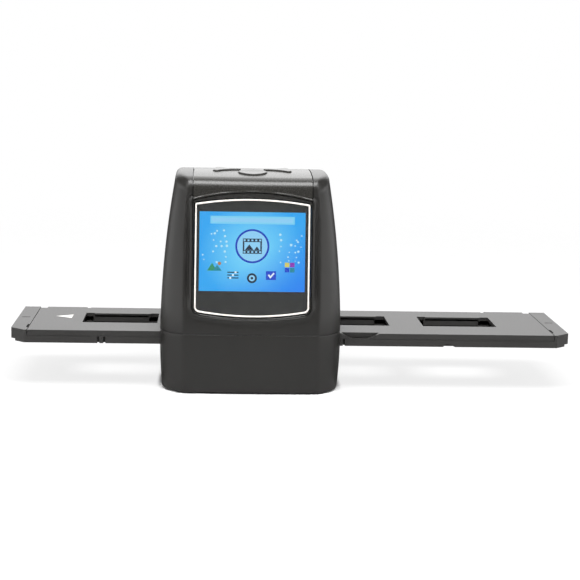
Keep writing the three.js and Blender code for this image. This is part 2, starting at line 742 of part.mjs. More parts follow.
const usbMiddle = MAIN_BOARD_LEVEL + BOARD_THICKNESS + GAP + USB_HEIGHT / 2;
const jackMiddle = MAIN_BOARD_LEVEL + BOARD_THICKNESS + GAP + JACK_HEIGHT / 2;
const cardMiddle = MAIN_BOARD_LEVEL + BOARD_THICKNESS + GAP + CARD_HEIGHT / 2;

function socketCutouts() {
  const cut = (outline) => solid(acrossY(outline, MAIN_BOARD_BACK, farOut, ROUND_SIDES / 4));
  const usb = cut(rectangle(USB_WIDTH + 2 * GAP, USB_HEIGHT + 2 * GAP, USB_X, usbMiddle));
  const jack = cut(rectangle(JACK_WIDTH + 2 * GAP, JACK_HEIGHT + 2 * GAP, JACK_X, jackMiddle));
  const card = cut(rectangle(CARD_WIDTH + 2 * GAP, CARD_HEIGHT + 2 * GAP, CARD_X, cardMiddle));
  return usb.add(jack).add(card);
}

function upperShell() {
  const inside = housingForm(SHELL_WALL);
  const hollow = inside.add(inside.translate(0, 0, -OVERRUN));
  const recess = coverBand(GAP, COVER_BACK).subtract(housingForm(COVER_WALL + GAP));
  const opening = solid(onFace(acrossY(rimOutline(GAP), -farOut, BEZEL_DEPTH + OVERRUN)));
  const bossLimit = housingForm(SHELL_WALL / 2);
  let shell = beadedForm().intersect(above(PARTING_LEVEL + GAP)).subtract(hollow);
  shell = shell.subtract(recess).subtract(opening).subtract(buttonHoles(2 * GAP));
  for (const place of screwPlaces) {
    const hole = rod(SCREW_SHANK_RADIUS + GAP, ...place, 0, PARTING_LEVEL + SHELL_BOSS_HEIGHT - GAP);
    shell = shell.add(shellBoss(place).intersect(bossLimit)).subtract(hole);
  }
  return shell.subtract(socketCutouts());
}

const tunnelFront = HOLDER_MIDDLE_Y - HOLDER_WIDTH / 2 - TUNNEL_SIDE_GAP;
const tunnelBack = HOLDER_MIDDLE_Y + HOLDER_WIDTH / 2 + TUNNEL_SIDE_GAP;
const trayUnderside = TRAY_TOP - TRAY_FLOOR;

// Front and back of the window for the light, with a margin on both sides
function windowReach(margin) {
  return [WINDOW_MIDDLE_Y - WINDOW_WIDTH / 2 - margin, WINDOW_MIDDLE_Y + WINDOW_WIDTH / 2 + margin];
}

function windowCut() {
  const half = WINDOW_LENGTH / 2 + GATE_MARGIN;
  return boxAt(-half, half, ...windowReach(GATE_MARGIN), 0, farOut);
}

const floorTop = FOOT_STAND + BASE_WALL;

const footX = HOUSING_WIDTH / 2 - FOOT_INSET;
const footPlaces = [FRONT_Y + FOOT_INSET, BACK_Y - FOOT_INSET].flatMap((y) => [[-footX, y], [footX, y]]);

function baseShell() {
  const inside = housingForm(BASE_WALL);
  const tunnel = boxAt(-farOut, farOut, tunnelFront, tunnelBack, TRAY_TOP, farOut);
  let base = outerForm.intersect(below(PARTING_LEVEL)).subtract(inside).subtract(tunnel);
  for (const place of screwPlaces) {
    base = base.add(rod(BOSS_RADIUS, ...place, FOOT_STAND, PARTING_LEVEL));
  }
  const ledgeY = HOLDER_WIDTH / 2 - LEDGE_INSET;
  for (const side of [-1, 1]) {
    for (const y of [HOLDER_MIDDLE_Y - ledgeY, HOLDER_MIDDLE_Y + ledgeY]) {
      const x = side * (TRAY_LENGTH / 2 - TRAY_WALL);
      base = base.add(rod(BOSS_RADIUS, x, y, FOOT_STAND + GAP, trayUnderside - GAP));
    }
    const x = side * (WINDOW_LENGTH / 2 - LIGHT_BOX_MARGIN);
    base = base.add(boxAt(x - TRAY_WALL / 2, x + TRAY_WALL / 2, ...windowReach(0),
      floorTop - GAP, floorTop + LIGHT_BOX_LIFT));
  }
  for (const [x, y] of screwPlaces) {
    const clearance = rod(BOSS_HOLE_RADIUS, x, y, -OVERRUN, PARTING_LEVEL + OVERRUN);
    const sink = rod(SCREW_HEAD_RADIUS + GAP, x, y, -OVERRUN, FOOT_STAND + SCREW_SINK);
    base = base.subtract(clearance).subtract(sink);
  }
  for (const [x, y] of footPlaces) {
    base = base.subtract(rod(FOOT_RADIUS + GAP, x, y, 0, FOOT_STAND + FOOT_RECESS, ROUND_SIDES));
  }
  return base;
}

function rubberFoot() {
  const seat = FOOT_STAND + FOOT_RECESS - GAP;
  const edge = FOOT_RADIUS - FOOT_STAND / 4;
  return solid(turned([[0, 0], [edge, 0], [FOOT_RADIUS, FOOT_STAND / 4], [FOOT_RADIUS, seat], [0, seat]]));
}

function baseScrew() {
  const head = FOOT_STAND + SCREW_SINK - GAP;
  const low = head - SCREW_HEAD_HEIGHT;
  const tip = PARTING_LEVEL + SHELL_BOSS_HEIGHT - 2 * GAP;
  const profile = [
    [0, low], [SCREW_HEAD_RADIUS * SCREW_CROWN_SHARE, low],
    [SCREW_HEAD_RADIUS, head - SCREW_HEAD_HEIGHT / 2], [SCREW_HEAD_RADIUS, head],
    [SCREW_SHANK_RADIUS, head], [SCREW_SHANK_RADIUS, tip - SCREW_SHANK_RADIUS], [0, tip],
  ];
  return solid(turned(profile, SMALL_SIDES));
}

// Guide tray, film gate and lamp

function guideTray() {
  const half = TRAY_LENGTH / 2;
  const wallTop = GATE_UNDERSIDE - GAP;
  let tray = boxAt(-half, half, tunnelFront - TRAY_WALL, tunnelBack + TRAY_WALL, trayUnderside, wallTop);
  tray = tray.subtract(boxAt(-farOut, farOut, tunnelFront, tunnelBack, TRAY_TOP, farOut));
  const springOutline = rectangle(SPRING_LENGTH + 2 * GAP, SPRING_WIDTH + 2 * GAP, 0, DETENT_Y);
  const springRoom = solid(upright(springOutline, TRAY_TOP - TRAY_WALL, farOut));
  return tray.subtract(windowCut()).subtract(springRoom);
}

function detentSpring() {
  const half = SPRING_LENGTH / 2;
  const low = TRAY_TOP - TRAY_WALL + GAP;
  const crest = HOLDER_UNDERSIDE - GAP - SPRING_THICKNESS;
  const shape = new THREE.Shape();
  shape.moveTo(-half, low);
  shape.lineTo(-half / 2, low);
  shape.quadraticCurveTo(0, 2 * crest - low, half / 2, low);
  shape.lineTo(half, low);
  shape.lineTo(half, low + SPRING_THICKNESS);
  shape.lineTo(half / 2, low + SPRING_THICKNESS);
  shape.quadraticCurveTo(0, 2 * crest - low + SPRING_THICKNESS, -half / 2, low + SPRING_THICKNESS);
  shape.lineTo(-half, low + SPRING_THICKNESS);
  return solid(acrossY(shape, DETENT_Y - SPRING_WIDTH / 2, DETENT_Y + SPRING_WIDTH / 2));
}

const lightBoxUnder = floorTop + LIGHT_BOX_LIFT + GAP;
const lightBoxTop = trayUnderside - GAP;

function lightBox() {
  const reachX = WINDOW_LENGTH / 2 + LIGHT_BOX_MARGIN;
  const room = (wall, low, high) => boxAt(wall - reachX, reachX - wall,
    ...windowReach(LIGHT_BOX_MARGIN - wall), low, high);
  const seat = lightBoxTop - DIFFUSER_THICKNESS - GAP;
  return room(0, lightBoxUnder, lightBoxTop)
    .subtract(room(LIGHT_BOX_WALL, seat, farOut))
    .subtract(room(2 * LIGHT_BOX_WALL, lightBoxUnder + LIGHT_BOX_WALL, farOut));
}

function diffuser() {
  const margin = LIGHT_BOX_MARGIN - LIGHT_BOX_WALL - GAP;
  const reachX = WINDOW_LENGTH / 2 + margin;
  return boxAt(-reachX, reachX, ...windowReach(margin), lightBoxTop - DIFFUSER_THICKNESS, lightBoxTop);
}

function ledBoard() {
  const margin = LIGHT_BOX_MARGIN - 2 * LIGHT_BOX_WALL - GAP;
  const reachX = WINDOW_LENGTH / 2 + margin;
  const low = lightBoxUnder + LIGHT_BOX_WALL + GAP;
  const high = low + LED_BOARD_THICKNESS;
  let board = boxAt(-reachX, reachX, ...windowReach(margin), low, high);
  for (const column of [-1, 0, 1]) {
    for (const row of [-1 / 2, 1 / 2]) {
      const x = column * LED_SPACING;
      const y = WINDOW_MIDDLE_Y + row * LED_SPACING;
      board = board.add(boxAt(x - LED_SIZE / 2, x + LED_SIZE / 2, y - LED_SIZE / 2, y + LED_SIZE / 2,
        low, high + LED_HEIGHT));
    }
  }
  return board;
}

const pillarPlaces = [-1, 1].flatMap((side) => [MAIN_BOARD_FRONT, MAIN_BOARD_BACK].map((edge) => [
  side * (MAIN_BOARD_WIDTH / 2 - 2 * GATE_PILLAR_RADIUS),
  edge > 0 ? tunnelBack - GATE_PILLAR_RADIUS : edge + 2 * GATE_PILLAR_RADIUS]));

function filmGate() {
  const half = GATE_LENGTH / 2;
  let gate = boxAt(-half, half, tunnelFront - TRAY_WALL, tunnelBack + TRAY_WALL, GATE_UNDERSIDE, GATE_TOP);
  for (const place of pillarPlaces) {
    gate = gate.add(rod(GATE_PILLAR_RADIUS, ...place, GATE_UNDERSIDE, MAIN_BOARD_LEVEL - GAP));
  }
  return gate.subtract(windowCut());
}

// Optics: a dark tapering chimney, the lens in its barrel and the sensor above it

const lensTop = SENSOR_BOARD_LEVEL - GAP;
const lensFoot = lensTop - LENS_LENGTH;
const chimneyTop = lensFoot - GAP;

function taperedBox(low, high, lowX, lowY, highX, highY) {
  const ring = (z, x, y) => [[-x, -y], [x, -y], [x, y], [-x, y]]
    .map(([px, py]) => new THREE.Vector3(px, WINDOW_MIDDLE_Y + py, z));
  return solid(skin([ring(low, lowX, lowY), ring(high, highX, highY)]));
}

function chimney() {
  const room = (low, high, wall) => {
    const top = CHIMNEY_TOP_SIZE / 2 - wall;
    return taperedBox(low, high, CHIMNEY_FOOT_X - wall, CHIMNEY_FOOT_Y - wall, top, top);
  };
  const outer = room(CHIMNEY_FOOT, chimneyTop, 0);
  const inner = room(CHIMNEY_FOOT - GAP, chimneyTop - CHIMNEY_WALL, CHIMNEY_WALL);
  const hole = rod(LENS_BORE_RADIUS, 0, WINDOW_MIDDLE_Y, 0, farOut, ROUND_SIDES);
  return outer.subtract(inner).subtract(hole);
}

function lensBarrel() {
  const seat = lensFoot + LENS_LENGTH / 2;
  const narrow = GLASS_RADIUS - SEAT_THICKNESS;
  const profile = [[LENS_MOUTH_RADIUS, lensFoot], [LENS_RADIUS, lensFoot], [LENS_RADIUS, lensTop],
    [LENS_BORE_RADIUS, lensTop], [narrow, seat + SEAT_THICKNESS], [narrow, seat],
    [LENS_BORE_RADIUS, seat], [LENS_BORE_RADIUS, lensFoot + GLASS_EDGE], [LENS_MOUTH_RADIUS, lensFoot]];
  return turned(profile).translate(0, WINDOW_MIDDLE_Y, 0);
}

function lensGlass() {
  const high = lensFoot + LENS_LENGTH / 2 - GAP;
  const middle = high - GLASS_THICKNESS / 2;
  const under = [];
  for (let step = 0; step <= CURVE_STEPS; step++) {
    const share = step / CURVE_STEPS;
    const rise = THREE.MathUtils.lerp(GLASS_THICKNESS, GLASS_EDGE, share ** 2) / 2;
    under.push([GLASS_RADIUS * share, -rise]);
  }
  const over = under.map(([radius, rise]) => [radius, -rise]).reverse();
  return turned([...under, ...over], SMALL_SIDES).translate(0, WINDOW_MIDDLE_Y, middle);
}

function sensorBoard() {
  const low = SENSOR_BOARD_LEVEL;
  const high = low + BOARD_THICKNESS;
  const square = (size, top) => solid(upright(rectangle(size, size, 0, WINDOW_MIDDLE_Y), low, top));
  return square(SENSOR_BOARD_SIZE, high).add(square(CHIP_SIZE, high + CHIP_HEIGHT));
}

// Main board with its sockets, and the flat cable to the display

function mainBoard() {
  const half = MAIN_BOARD_WIDTH / 2;
  const high = MAIN_BOARD_LEVEL + BOARD_THICKNESS;
  const reachX = CHIMNEY_FOOT_X + MAIN_BOARD_HOLE_MARGIN;
  const reachY = CHIMNEY_FOOT_Y + MAIN_BOARD_HOLE_MARGIN;
  const hole = boxAt(-reachX, reachX, WINDOW_MIDDLE_Y - reachY, WINDOW_MIDDLE_Y + reachY, 0, farOut);
  let board = boxAt(-half, half, MAIN_BOARD_FRONT, MAIN_BOARD_BACK, MAIN_BOARD_LEVEL, high).subtract(hole);
  const chipX = half - CHIP_SIZE / 2;
  for (const side of [-1, 1]) {
    const x = side * (chipX - GATE_MARGIN);
    board = board.add(boxAt(x - CHIP_SIZE / 4, x + CHIP_SIZE / 4, -CHIP_SIZE / 2, CHIP_SIZE / 2,
      MAIN_BOARD_LEVEL, high + CHIP_HEIGHT));
  }
  return board;
}

const socketBack = backAt(MAIN_BOARD_LEVEL) - SOCKET_SINK;

function socketShell(outline, inner, depth, hollow) {
  const body = solid(acrossY(outline, socketBack - depth, socketBack));
  return body.subtract(solid(acrossY(inner, socketBack - hollow, socketBack + OVERRUN)));
}

function usbOutline(shrink) {
  const half = USB_WIDTH / 2 - shrink;
  const rise = USB_HEIGHT / 2 - shrink;
  const corners = [[half - USB_TAPER, -rise], [half, USB_TAPER - rise], [half, rise],
    [-half, rise], [-half, USB_TAPER - rise], [USB_TAPER - half, -rise]];
  return polygon(corners.map(([x, z]) => [USB_X + x, usbMiddle + z]));
}

function usbSocket() {
  const shell = socketShell(usbOutline(0), usbOutline(SOCKET_WALL), USB_DEPTH, USB_DEPTH - PLASTIC_TONGUE);
  const tongue = acrossY(rectangle(USB_WIDTH / 2, PLASTIC_TONGUE, USB_X, usbMiddle),
    socketBack - USB_DEPTH + GAP, socketBack - PLASTIC_TONGUE);
  return shell.add(solid(tongue));
}

function videoJack() {
  const front = socketBack - JACK_DEPTH;
  const body = solid(acrossY(rectangle(JACK_WIDTH, JACK_HEIGHT, JACK_X, jackMiddle), front, socketBack));
  const bore = rodAlongY(JACK_BORE_RADIUS, JACK_X, jackMiddle, front + SOCKET_WALL, socketBack + OVERRUN);
  return body.subtract(bore);
}

function cardSocket() {
  const depth = socketBack - (WINDOW_MIDDLE_Y + CHIMNEY_FOOT_Y) - CARD_CLEARANCE;
  const outline = rectangle(CARD_WIDTH, CARD_HEIGHT, CARD_X, cardMiddle);
  const slot = rectangle(CARD_SLOT_WIDTH, CARD_SLOT_HEIGHT, CARD_X, cardMiddle);
  return socketShell(outline, slot, depth, depth - CARD_END_WALL);
}

// Flat cable: a thin band that drops from behind the display to the front of the main board
function displayCable() {
  const behind = frontAt(DISPLAY_LEVEL) + (BEZEL_DEPTH + 2 * GAP) / Math.cos(FRONT_LEAN);
  const endY = MAIN_BOARD_FRONT + GATE_PILLAR_RADIUS;
  const endZ = MAIN_BOARD_LEVEL + BOARD_THICKNESS + GAP;
  const path = new THREE.CubicBezierCurve(
    new THREE.Vector2(behind, DISPLAY_LEVEL - PANEL_HEIGHT / 4),
    new THREE.Vector2(behind + GATE_PILLAR_RADIUS, (DISPLAY_LEVEL + endZ) / 2),
    new THREE.Vector2(endY, (DISPLAY_LEVEL + endZ) / 2),
    new THREE.Vector2(endY, endZ),
  );
  const near = [];
  const far = [];
  for (let step = 0; step <= 2 * CURVE_STEPS; step++) {
    const along = step / (2 * CURVE_STEPS);
    const point = path.getPoint(along);
    const across = path.getTangent(along).rotateAround(new THREE.Vector2(), Math.PI / 2);
    near.push(point.clone().addScaledVector(across, CABLE_THICKNESS / 2));
    far.push(point.clone().addScaledVector(across, -CABLE_THICKNESS / 2));
  }
  const outline = new THREE.Shape([...near, ...far.reverse()]);
  const band = upright(outline, -CABLE_WIDTH / 2, CABLE_WIDTH / 2);
  return solid(band.applyMatrix4(new THREE.Matrix4().set(0, 0, 1, 0, 1, 0, 0, 0, 0, 1, 0, 0, 0, 0, 0, 1)));
}

// Buttons, their switches and the board that carries them

const switchLow = BUTTON_BOARD_LEVEL + BOARD_THICKNESS + GAP;
const switchTop = switchLow + SWITCH_HEIGHT;
const stemTop = switchTop + STEM_PROUD;

function button(name) {
  const outline = buttonOutlines[name];
  const skirtLow = HOUSING_HEIGHT - BUTTON_SKIRT;
  const cap = solid(upright(grown(outline, 0), skirtLow, farOut)).intersect(housingForm(-BUTTON_PROUD));
  const under = housingForm(SHELL_WALL + BUTTON_TRAVEL_ROOM / 2);
  const wide = grown(outline, FLANGE_MARGIN);
  const flange = solid(upright(wide, skirtLow - FLANGE_THICKNESS, farOut)).intersect(under);
  const post = rod(POST_RADIUS, ...postPlaces[name], stemTop + GAP, skirtLow);
  return cap.add(flange).add(post);
}

function switchBody(name) {
  const [x, y] = postPlaces[name];
  const half = SWITCH_SIZE / 2;
  const body = boxAt(x - half, x + half, y - half, y + half, switchLow, switchTop);
  return body.subtract(rod(SWITCH_BORE, x, y, switchTop - STEM_SUNK - BUTTON_TRAVEL_ROOM, farOut));
}

function switchStem(name) {
  return rod(STEM_RADIUS, ...postPlaces[name], switchTop - STEM_SUNK, stemTop);
}

function buttonBoard() {
  const half = WING_OUTER_X + BUTTON_BOARD_MARGIN;
  return boxAt(-half, half, BUTTON_BOARD_FRONT, BUTTON_BOARD_FRONT + BUTTON_BOARD_WIDTH,
    BUTTON_BOARD_LEVEL, BUTTON_BOARD_LEVEL + BOARD_THICKNESS);
}

// Slide holder, drawn from the middle of its underside

const halfLength = HOLDER_LENGTH / 2;
const halfDepth = HOLDER_WIDTH / 2;
const coverEnd = halfLength - END_CAP_LENGTH;
const hingeY = halfDepth - HINGE_INSET;
const windowY = WINDOW_MIDDLE_Y - HOLDER_MIDDLE_Y;
const slideMiddles = [-1, 1].flatMap((side) => [
  side * SLIDE_MIDDLE_PITCH / 2, side * (SLIDE_MIDDLE_PITCH / 2 + SLIDE_PITCH)]);

function holderOutline() {
  return polygon([
    [HOLDER_CHAMFER_X - halfLength, -halfDepth], [halfLength - HOLDER_CHAMFER_X, -halfDepth],
    [halfLength, HOLDER_CHAMFER_Y - halfDepth], [halfLength, halfDepth],
    [-halfLength, halfDepth], [-halfLength, HOLDER_CHAMFER_Y - halfDepth],
  ]);
}

// Both halves of the holder are cut by the same windows, notches and thumb scoop
function holderCuts() {
  const cuts = [];
  for (const middle of slideMiddles) {
    cuts.push(solid(upright(rectangle(WINDOW_LENGTH, WINDOW_WIDTH, middle, windowY), -OVERRUN, farOut)));
  }
  for (const side of [-1, 1]) {
    const x = side * INDEX_NOTCH_X;
    const notch = polygon([[x - INDEX_NOTCH_WIDTH / 2, halfDepth + OVERRUN],
      [x - INDEX_NOTCH_WIDTH / 2, halfDepth], [x, halfDepth - INDEX_NOTCH_DEPTH],
      [x + INDEX_NOTCH_WIDTH / 2, halfDepth], [x + INDEX_NOTCH_WIDTH / 2, halfDepth + OVERRUN]]);
    cuts.push(solid(upright(notch, -OVERRUN, farOut)));
  }
  const scoopRadius = ((THUMB_WIDTH / 2) ** 2 + THUMB_DROP ** 2) / (2 * THUMB_DROP);
  cuts.push(rodAlongY(scoopRadius, THUMB_X, HOLDER_THICKNESS - THUMB_DROP + scoopRadius,
    -halfDepth - OVERRUN, -halfDepth + THUMB_DEPTH, 2 * ROUND_SIDES));
  return cuts;
}

function inOrder(one, other) {
  return [Math.min(one, other), Math.max(one, other)];
}

function without(shape, cuts) {
  return cuts.reduce((left, cut) => left.subtract(cut), shape);
}

function holderFrame() {
  let frame = solid(upright(holderOutline(), 0, HOLDER_THICKNESS));
  frame = frame.subtract(boxAt(-coverEnd, coverEnd, -farOut, farOut, HOLDER_TRAY, farOut));
  frame = without(frame, holderCuts());
  for (const middle of slideMiddles) {
    const pocket = rectangle(SLIDE_SIZE, POCKET_WIDTH, middle, windowY);
    frame = frame.subtract(solid(upright(pocket, HOLDER_TRAY - SLIDE_POCKET, farOut)));
    const groove = rectangle(DETENT_WIDTH, DETENT_GROOVE_LENGTH, middle, DETENT_Y - HOLDER_MIDDLE_Y);
    frame = frame.subtract(solid(upright(groove, -OVERRUN, DETENT_DEPTH)));
  }
  for (const side of [-1, 1]) {
    const step = inOrder(side * (halfLength - END_INSET), side * (halfLength + OVERRUN));
    frame = frame.subtract(boxAt(...step, -farOut, farOut, -OVERRUN, END_STEP));
    const bore = inOrder(side * (coverEnd - OVERRUN), side * (coverEnd + HINGE_PIN_LENGTH / 2 + GAP));
    frame = frame.subtract(rodAlongX(HINGE_PIN_RADIUS + GAP, hingeY, HINGE_LEVEL, ...bore));
    const groove = rectangle(GRIP_LENGTH, GRIP_WIDTH, side * (halfLength - GRIP_INSET), GRIP_Y);
    frame = frame.subtract(solid(upright(groove, HOLDER_THICKNESS - GRIP_DEPTH, farOut)));
  }
  for (const x of [LATCH_X - LATCH_WIDTH / 2, LATCH_X + LATCH_WIDTH / 2, SPARE_SLOT_X]) {
    const slot = rectangle(LATCH_SLOT, 2 * LATCH_DEPTH, x, -halfDepth);
    frame = frame.subtract(solid(upright(slot, -OVERRUN, farOut)));
  }
  const reach = KEY_NOTCH_WIDTH / 2;
  const key = polygon([
    [-reach, -OVERRUN], [reach, -OVERRUN], [reach, 0], [-reach / 2, KEY_NOTCH_HEIGHT], [-reach, 0],
  ].map(([x, z]) => [KEY_NOTCH_X + x, z]));
  return frame.subtract(solid(acrossY(key, -farOut, -halfDepth + LATCH_DEPTH)));
}

function holderCover() {
  const end = coverEnd - GAP;
  const low = HOLDER_TRAY + GAP;
  let cover = boxAt(-end, end, -halfDepth, halfDepth, low, HOLDER_THICKNESS);
  cover = without(cover, holderCuts());
  for (const middle of slideMiddles) {
    const pocket = rectangle(SLIDE_SIZE, POCKET_WIDTH, middle, windowY);
    cover = cover.subtract(solid(upright(pocket, -OVERRUN, low + SLIDE_COVER_POCKET)));
    for (const side of [-1, 1]) {
      const width = (WINDOW_LENGTH - WINDOW_RIB) / 2;
      const corner = rectangle(width, 2 * WINDOW_CORNER_DEPTH, middle + side * (WINDOW_LENGTH - width) / 2,
        windowY + WINDOW_WIDTH / 2);
      cover = cover.subtract(solid(upright(corner, -OVERRUN, farOut)));
    }
  }
  for (const side of [-1, 1]) {
    const notch = inOrder(side * (end + OVERRUN), side * (end - HINGE_NOTCH_LENGTH));
    cover = cover.subtract(boxAt(...notch, halfDepth - HINGE_NOTCH_DEPTH, farOut, -OVERRUN, farOut));
    const bore = inOrder(side * (end + OVERRUN), side * (coverEnd - HINGE_PIN_LENGTH / 2 - GAP));
    cover = cover.subtract(rodAlongX(HINGE_PIN_RADIUS + GAP, hingeY, HINGE_LEVEL, ...bore));
  }
  const rabbet = boxAt(-INDEX_NOTCH_X, INDEX_NOTCH_X, halfDepth - RABBET_WIDTH, farOut,
    HOLDER_THICKNESS - RABBET_DEPTH, farOut);
  return cover.subtract(rabbet);
}

function hingePin(side) {
  const ends = inOrder(side * (coverEnd - HINGE_PIN_LENGTH / 2), side * (coverEnd + HINGE_PIN_LENGTH / 2));
  return rodAlongX(HINGE_PIN_RADIUS, hingeY, HINGE_LEVEL, ...ends);
}

// Materials

function finish(color, roughness, metalness = 0) {
  return new THREE.MeshStandardMaterial({ color, roughness, metalness });
}

const moulded = finish('#383735', 0.5);
const mouldedCover = finish('#3c3b39', 0.4);
const mouldedHolder = finish('#3e3d3c', 0.5);
const bezelBlack = finish('#2d2c2a', 0.35);
const silverPrint = finish('#f4f0ea', 0.35);
const clearPlate = finish('#8fc8f4', 0.08);
const panelBlue = finish('#38b8f5', 0.25);
const frameSteel = finish('#b9bcc0', 0.35, 1);
const circuitGreen = finish('#1f5b3a', 0.6);
const switchBlack = finish('#1e1e1f', 0.5);
const matteBlack = finish('#141414', 0.8);
const opalWhite = finish('#f2f1ea', 0.6);
const rubber = finish('#232323', 0.85);
const screwSteel = finish('#8d8f92', 0.35, 1);
const lensGlassFinish = finish('#7d95a8', 0.05);
const cableAmber = finish('#a5702b', 0.45);

function piece(name, shape, material) {
  const geometry = shape.isBufferGeometry ? shape : geometryOf(shape);
  const mesh = new THREE.Mesh(geometry, material);
  mesh.name = name;
  return mesh;
}

const scanner = new THREE.Group();
const housing = new THREE.Group();
const display = new THREE.Group();
const holder = new THREE.Group();
housing.position.x = -HOLDER_OFFSET;
display.position.set(0, frontAt(DISPLAY_LEVEL), DISPLAY_LEVEL);
display.rotation.x = -FRONT_LEAN;
holder.position.set(0, HOLDER_MIDDLE_Y, HOLDER_UNDERSIDE);
scanner.add(housing, holder);
housing.add(display);

housing.add(
  piece('base_shell', baseShell(), moulded),
  piece('upper_shell', upperShell(), moulded),
  piece('top_cover', topCover(), mouldedCover),
  piece('guide_tray', guideTray(), matteBlack),
  piece('detent_spring', detentSpring(), screwSteel),
  piece('film_gate', filmGate(), matteBlack),
  piece('light_box', lightBox(), opalWhite),
  piece('diffuser', diffuser(), opalWhite),
  piece('led_board', ledBoard(), circuitGreen),
  piece('optics_chimney', chimney(), matteBlack),
  piece('lens_barrel', lensBarrel(), matteBlack),
  piece('lens_glass', lensGlass(), lensGlassFinish),
  piece('sensor_board', sensorBoard(), circuitGreen),
  piece('main_board', mainBoard(), circuitGreen),
  piece('display_cable', displayCable(), cableAmber),
  piece('usb_socket', usbSocket(), frameSteel),
  piece('video_jack', videoJack(), switchBlack),
  piece('card_socket', cardSocket(), frameSteel),
  piece('button_board', buttonBoard(), circuitGreen),
);

display.add(
  piece('display_bezel', displayBezel(), bezelBlack),
  piece('display_ring', displayRing(), silverPrint),
  piece('display_window', displayWindow(), clearPlate),
  piece('lcd_panel', lcdPanel(), panelBlue),
  piece('lcd_backlight', lcdBacklight(), frameSteel),
);

for (const name of Object.keys(buttonOutlines)) {
  const short = name.replace('_button', '');
  housing.add(
    piece(name, button(name), mouldedCover),
    piece(`${short}_switch`, switchBody(name), switchBlack),
    piece(`${short}_switch_stem`, switchStem(name), opalWhite),
  );
}

footPlaces.forEach(([x, y], index) => {
  const foot = piece(`rubber_foot_${index + 1}`, rubberFoot(), rubber);
  foot.position.set(x, y, 0);
  housing.add(foot);
});

screwPlaces.forEach(([x, y], index) => {
  const screw = piece(`base_screw_${index + 1}`, baseScrew(), screwSteel);
  screw.position.set(x, y, 0);
  housing.add(screw);
});

holder.add(
  piece('holder_frame', holderFrame(), mouldedHolder),
  piece('holder_cover', holderCover(), mouldedHolder),
  piece('holder_hinge_pin_left', hingePin(-1), screwSteel),
  piece('holder_hinge_pin_right', hingePin(1), screwSteel),
);

export default scanner;
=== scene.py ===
# The looks of a stand-alone scanner for 35 mm film: its moulded housing, lit display, buttons,
# sockets and long slide holder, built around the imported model. Lengths are in millimetres until
# a mesh is made, and metres after that.

import math

import bmesh
import bpy
import numpy as np
from mathutils import Matrix, Vector


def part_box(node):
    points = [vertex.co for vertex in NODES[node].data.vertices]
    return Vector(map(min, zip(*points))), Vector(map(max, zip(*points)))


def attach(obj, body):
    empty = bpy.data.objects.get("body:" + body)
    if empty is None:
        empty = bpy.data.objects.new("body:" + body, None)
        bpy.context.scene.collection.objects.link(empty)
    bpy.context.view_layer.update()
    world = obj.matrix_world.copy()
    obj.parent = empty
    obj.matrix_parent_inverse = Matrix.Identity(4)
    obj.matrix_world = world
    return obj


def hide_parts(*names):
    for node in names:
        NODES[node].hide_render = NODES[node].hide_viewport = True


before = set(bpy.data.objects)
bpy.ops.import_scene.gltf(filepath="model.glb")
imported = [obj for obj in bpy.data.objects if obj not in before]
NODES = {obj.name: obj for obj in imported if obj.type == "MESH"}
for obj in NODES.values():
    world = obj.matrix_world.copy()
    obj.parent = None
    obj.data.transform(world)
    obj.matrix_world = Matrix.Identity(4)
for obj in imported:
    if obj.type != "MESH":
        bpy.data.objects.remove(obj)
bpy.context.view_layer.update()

MM = 0.001

# Housing, as in the part's source
HOUSING_X = -20.0
HOUSING_WIDTH = 85.0
HOUSING_TOP_WIDTH = 71.4
HOUSING_UNDER_WIDTH = 82.6
HOUSING_DEPTH = 87.0
HOUSING_HEIGHT = 101.5
WIDEST_LEVEL = 24.0
FOOT_STAND = 1.2
CREASE_X = 31.5
CREASE_DRAW = 2.4
CREASE_DRAW_START = 55.0
BACK_TURN_X = 28.0
CORNER_DEPTH = 16.0
CREASE_TURN = math.radians(35)
FACE_BOW = 0.6
FRONT_LEAN = math.radians(9)
LEAN_START = 28.0
LEAN_FULL = 40.0
FRONT_TUCK = 0.8
BACK_DRAW = 5.0
DOME_PEAK = -6.0
DOME_DROP = 7.3
CROWN_ROUND = 3.2
CROWN_FRONT_EXTRA = 2.4
UNDER_ROUND = 0.6
UNDERSIDE = 0.7
PARTING_LEVEL = 28.0
PULL_SHARE = 0.45
BACK_PULL_SHARE = 0.55
LEAST_ROUND_SHARE = 0.2
GAP = 0.3
BASE_WALL = 2.4
SHELL_WALL = 2.5
COVER_WALL = 1.2
CREASE_SOFT = 1.0
LIP_ROUND = 0.15
PARTING_GAP = 0.12

# Tunnel, feet and screws
TUNNEL_FRONT = -30.3
TUNNEL_BACK = 32.9
TUNNEL_FLOOR = 20.45
FOOT_RADIUS = 4.7
FOOT_RECESS = 0.8
FOOT_PLACES = [(-28, -29), (28, -29), (-28, 29), (28, 29)]
SCREW_PLACES = [(-24, -36.6), (24, -36.6), (-24, 37.8), (24, 37.8)]
SCREW_HEAD_RADIUS = 2.1
SCREW_HEAD_HEIGHT = 1.5
SCREW_SINK = 3.0
BOSS_RADIUS = 2.7
BOSS_HOLE_RADIUS = 1.4
BOSS_RISE = 0.2
BOSS_TOP_GAP = 0.05

